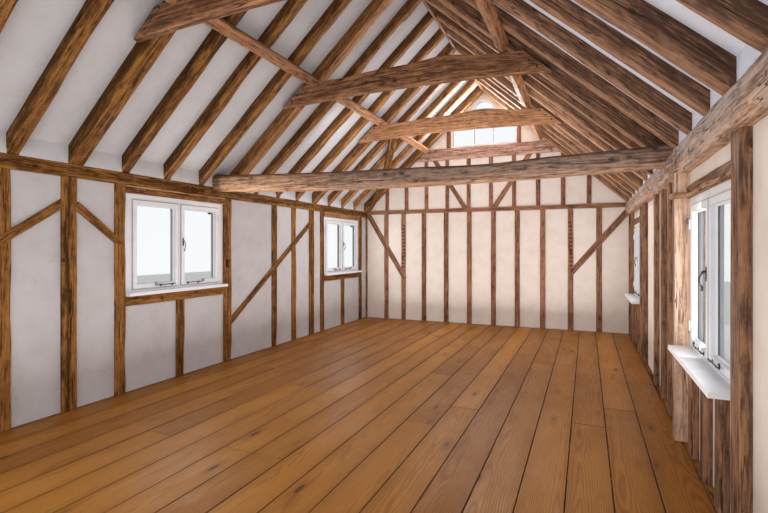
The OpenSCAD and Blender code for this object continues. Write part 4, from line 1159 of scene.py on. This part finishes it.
class HALL_OT_roof_tiles(HallOperator, bpy.types.Operator):
    """Boards both slopes and hangs rows of plain clay tiles on them"""
    bl_idname = "hall.roof_tiles"
    bl_label = "Roof tiles"

    def execute(self, context):
        for hand, name in ((-1, "left"), (1, "right")):
            self.slope(hand, name)
        return {"FINISHED"}

    def slope(self, hand, name):
        along, out = mirrored(ALONG, hand), mirrored(OUTWARD, hand)
        edge = EAVES_X + VERGE
        low = np.array([hand * edge, 0.0, under(edge) + RAFTER_DEPTH])
        length = edge * SLOPE
        y0, y1 = NEAR_Y - VERGE, FAR_Y + VERGE
        boards, count = Heap(), 18
        step = (length - BOARDING_T) / count
        for i in range(count):
            base = low + along * (BOARDING_T + (i + 0.5) * step) + out * BOARDING_T
            plank(boards, base + Y * (y0 + 0.01), base + Y * (y1 - 0.01), along, out, step - 0.003,
                  BOARDING_T, 8000 + 50 * hand + i)
        boards.build(f"{name}_roof_boarding", "brown_timber")
        rows = int(length / self.sizes.tile_gauge)
        gauge = (length - 0.012) / rows
        columns = round((y1 - y0) / self.sizes.tile_width)
        width = (y1 - y0) / columns
        rng = np.random.default_rng(60 + hand)
        row, column = (index.ravel() for index in np.meshgrid(
            np.arange(rows), np.arange(columns), indexing="ij"))
        n = len(row)
        # Each tile: a cambered strip of five points across, at its tail and its head, each above
        # and below
        across = np.linspace(-0.5, 0.5, 5)
        camber = TILE_CAMBER * (1 - (2 * across) ** 2)
        tile = np.concatenate([
            np.stack([np.full(5, place), across[order], (lift + skin + camber)[order]], 1)
            for place, lift in ((0.0, TILE_TAIL), (min(TILE_LENGTH, 1.85 * gauge), TILE_HEAD))
            for skin, order in ((0.0, slice(None)), (-TILE_T, slice(None, None, -1)))])
        centre = (column + 0.5 + 0.5 * (row % 2)) * width
        s = row[:, None] * gauge + tile[:, 0] + rng.uniform(-0.002, 0.002, (n, 1))
        s = np.clip(s, 0.9 * TILES_TOP, length - 0.002)
        y = np.clip(y0 + centre[:, None] + tile[:, 1] * (width - 0.003), y0, y1)
        lift = tile[:, 2] + BOARDING_T * 0.9 + rng.uniform(-0.0012, 0.0012, (n, 1)) + (
            tile[:, 1] * rng.uniform(-0.003, 0.003, (n, 1)))
        lift = np.minimum(lift, TILES_TOP)
        points = low + s[..., None] * along + y[..., None] * Y + lift[..., None] * out
        # The shifted rows' last tile lies half past the verge: it is cut there, or left out
        points = points[np.minimum(0.5, (y1 - y0 - centre) / width) > 0.05]
        n = len(points)
        quads = (rings_to_quads(2, 10)[None] + (np.arange(n) * 20)[:, None, None]).reshape(-1, 4)
        heap = Heap()
        heap.add(points.reshape(-1, 3), quads, tone=np.repeat(rng.uniform(0, 1, n), 20))
        heap.build(f"{name}_roof_tiles", "roof_tile", f"{name}_roof_cover", smooth=30)


# The camera that the photo was taken with: place in metres, turn to the left in degrees
CAMERA_PLACE, CAMERA_TURN = (1.60, -4.3555, 1.448), 23.3
CAMERA_LENS, CAMERA_SENSOR, CAMERA_SHIFT = 22.03, 36.0, -8.5 / 768


class HALL_OT_stage(HallOperator, bpy.types.Operator):
    """Sets the pale floor, the soft lights, the bright sky and the camera"""
    bl_idname = "hall.stage"
    bl_label = "Stage, lights and camera"

    def execute(self, context):
        scene = context.scene
        self.floor()
        self.sky(scene)
        camera = bpy.data.cameras.new("room_camera")
        camera.lens, camera.sensor_width, camera.shift_y = CAMERA_LENS, CAMERA_SENSOR, CAMERA_SHIFT
        camera.clip_start = 0.02
        eye = bpy.data.objects.new("room_camera", camera)
        eye.location = CAMERA_PLACE
        eye.rotation_euler = (math.pi / 2, 0.0, math.radians(CAMERA_TURN))
        scene.collection.objects.link(eye)
        scene.camera = eye
        scene.view_settings.view_transform = "Standard"
        for name, place, turn, width, height, power, shade in (
                ("open_end", (0.0, NEAR_Y - 0.15, 1.9), (90, 0, 0), 4.2, 3.4, 62, (0.97, 0.98, 1.0)),
                ("floor_bounce", (0.0, 0.3, FLOOR + 0.25), (180, 0, 0), 3.6, 6.2, 84,
                 (1.0, 0.97, 0.95)),
                ("far_end", (0.0, 0.6, FLOOR + 2.2), (90, 0, 0), 2.6, 1.2, 28, (0.98, 0.98, 1.0)),
                ("far_roof", (0.0, 1.9, FLOOR + 2.5), (180, 0, 0), 2.0, 2.6, 7, (1.0, 0.98, 1.0))):
            self.lamp(name, place, turn, width, height, power, shade)
        for hand, name, power in ((-1, "left", 14), (1, "right", 9)):
            middle = (SILL[hand] + HEAD[hand]) / 2
            for i, y in enumerate(WINDOWS[hand]):
                self.lamp(f"window_{name}_{i}", (hand * (HALF_W + 0.01), y, middle + 0.06),
                          (90, 0, hand * 90), 0.8, HEAD[hand] - SILL[hand] - 0.3, power - 3 * i,
                          (0.93, 0.97, 1.0))
        self.lamp("reveal_light", (HALF_W + 0.01, WINDOWS[1][0] + 0.18, middle), (90, 0, 0),
                  0.1, 0.9, 1.3, (1.0, 0.98, 0.95))
        self.lamp("gable_light", (GABLE_WINDOW_X, GABLE_Y - 0.02, GABLE_COLLAR_HIGH + 0.26),
                  (-90, 0, 0), 1.0, 0.5, 60, (0.97, 0.98, 1.0))
        return {"FINISHED"}

    def floor(self):
        half = self.sizes.stage_size / 2
        mesh = bpy.data.meshes.new("stage_floor")
        mesh.from_pydata([(-half, -half, 0), (half, -half, 0), (half, half, 0), (-half, half, 0)],
                         [], [(0, 1, 2, 3)])
        mesh.materials.append(FINISHES["stage_floor"])
        floor = bpy.data.objects.new("stage_floor", mesh)
        bpy.context.collection.objects.link(floor)

    def sky(self, scene):
        """The world lights the hall softly, and shows white to the camera, in gloss and
        through the panes."""
        scene.world = bpy.data.worlds.new("sky")
        s = Shading(scene.world, "Background")
        seen = 0.0
        for kind in ("Camera", "Glossy", "Transmission"):
            ray = s.node("ShaderNodeLightPath", output=f"Is {kind} Ray")
            seen = s.math("MAXIMUM", ray, seen)
        s.finish(Color=(1.0, 1.0, 1.0), Strength=s.step(seen, 0.0, 1.0, 0.65, 1.0))

    def lamp(self, name, place, turn, width, height, power, shade):
        light = bpy.data.lights.new(name, "AREA")
        light.shape = "RECTANGLE"
        light.size, light.size_y = width, height
        light.energy = power
        light.color = shade
        lamp = bpy.data.objects.new(name, light)
        lamp.location = place
        lamp.rotation_euler = [math.radians(angle) for angle in turn]
        lamp.visible_camera = False
        lamp.visible_transmission = False
        bpy.context.scene.collection.objects.link(lamp)


class HALL_PT_panel(bpy.types.Panel):
    """Lists the hall's pieces in the order in which they are made"""
    bl_idname = "HALL_PT_panel"
    bl_label = "Timber-framed hall"
    bl_space_type = "VIEW_3D"
    bl_region_type = "UI"
    bl_category = "Hall"

    def draw(self, context):
        for group in (context.scene.hall_sizes, context.scene.hall_colours):
            box = self.layout.box()
            for name in group.__annotations__:
                box.prop(group, name)
        for step in STEPS:
            self.layout.operator(step.bl_idname)


STEPS = (
    HALL_OT_finishes, HALL_OT_packed_nodes, HALL_OT_rafters, HALL_OT_collars, HALL_OT_tie_beam,
    HALL_OT_purlins, HALL_OT_side_frames, HALL_OT_gable_frame, HALL_OT_window_fittings,
    HALL_OT_floor, HALL_OT_roof_tiles, HALL_OT_stage)
CLASSES = (HallSizes, HallColours) + STEPS + (HALL_PT_panel,)


def register():
    for cls in CLASSES:
        bpy.utils.register_class(cls)
    bpy.types.Scene.hall_sizes = bpy.props.PointerProperty(type=HallSizes)
    bpy.types.Scene.hall_colours = bpy.props.PointerProperty(type=HallColours)


def unregister():
    del bpy.types.Scene.hall_colours
    del bpy.types.Scene.hall_sizes
    for cls in reversed(CLASSES):
        bpy.utils.unregister_class(cls)


def main():
    register()
    for step in STEPS:
        group, name = step.bl_idname.split(".")
        getattr(getattr(bpy.ops, group), name)()


if __name__ == "__main__":
    main()
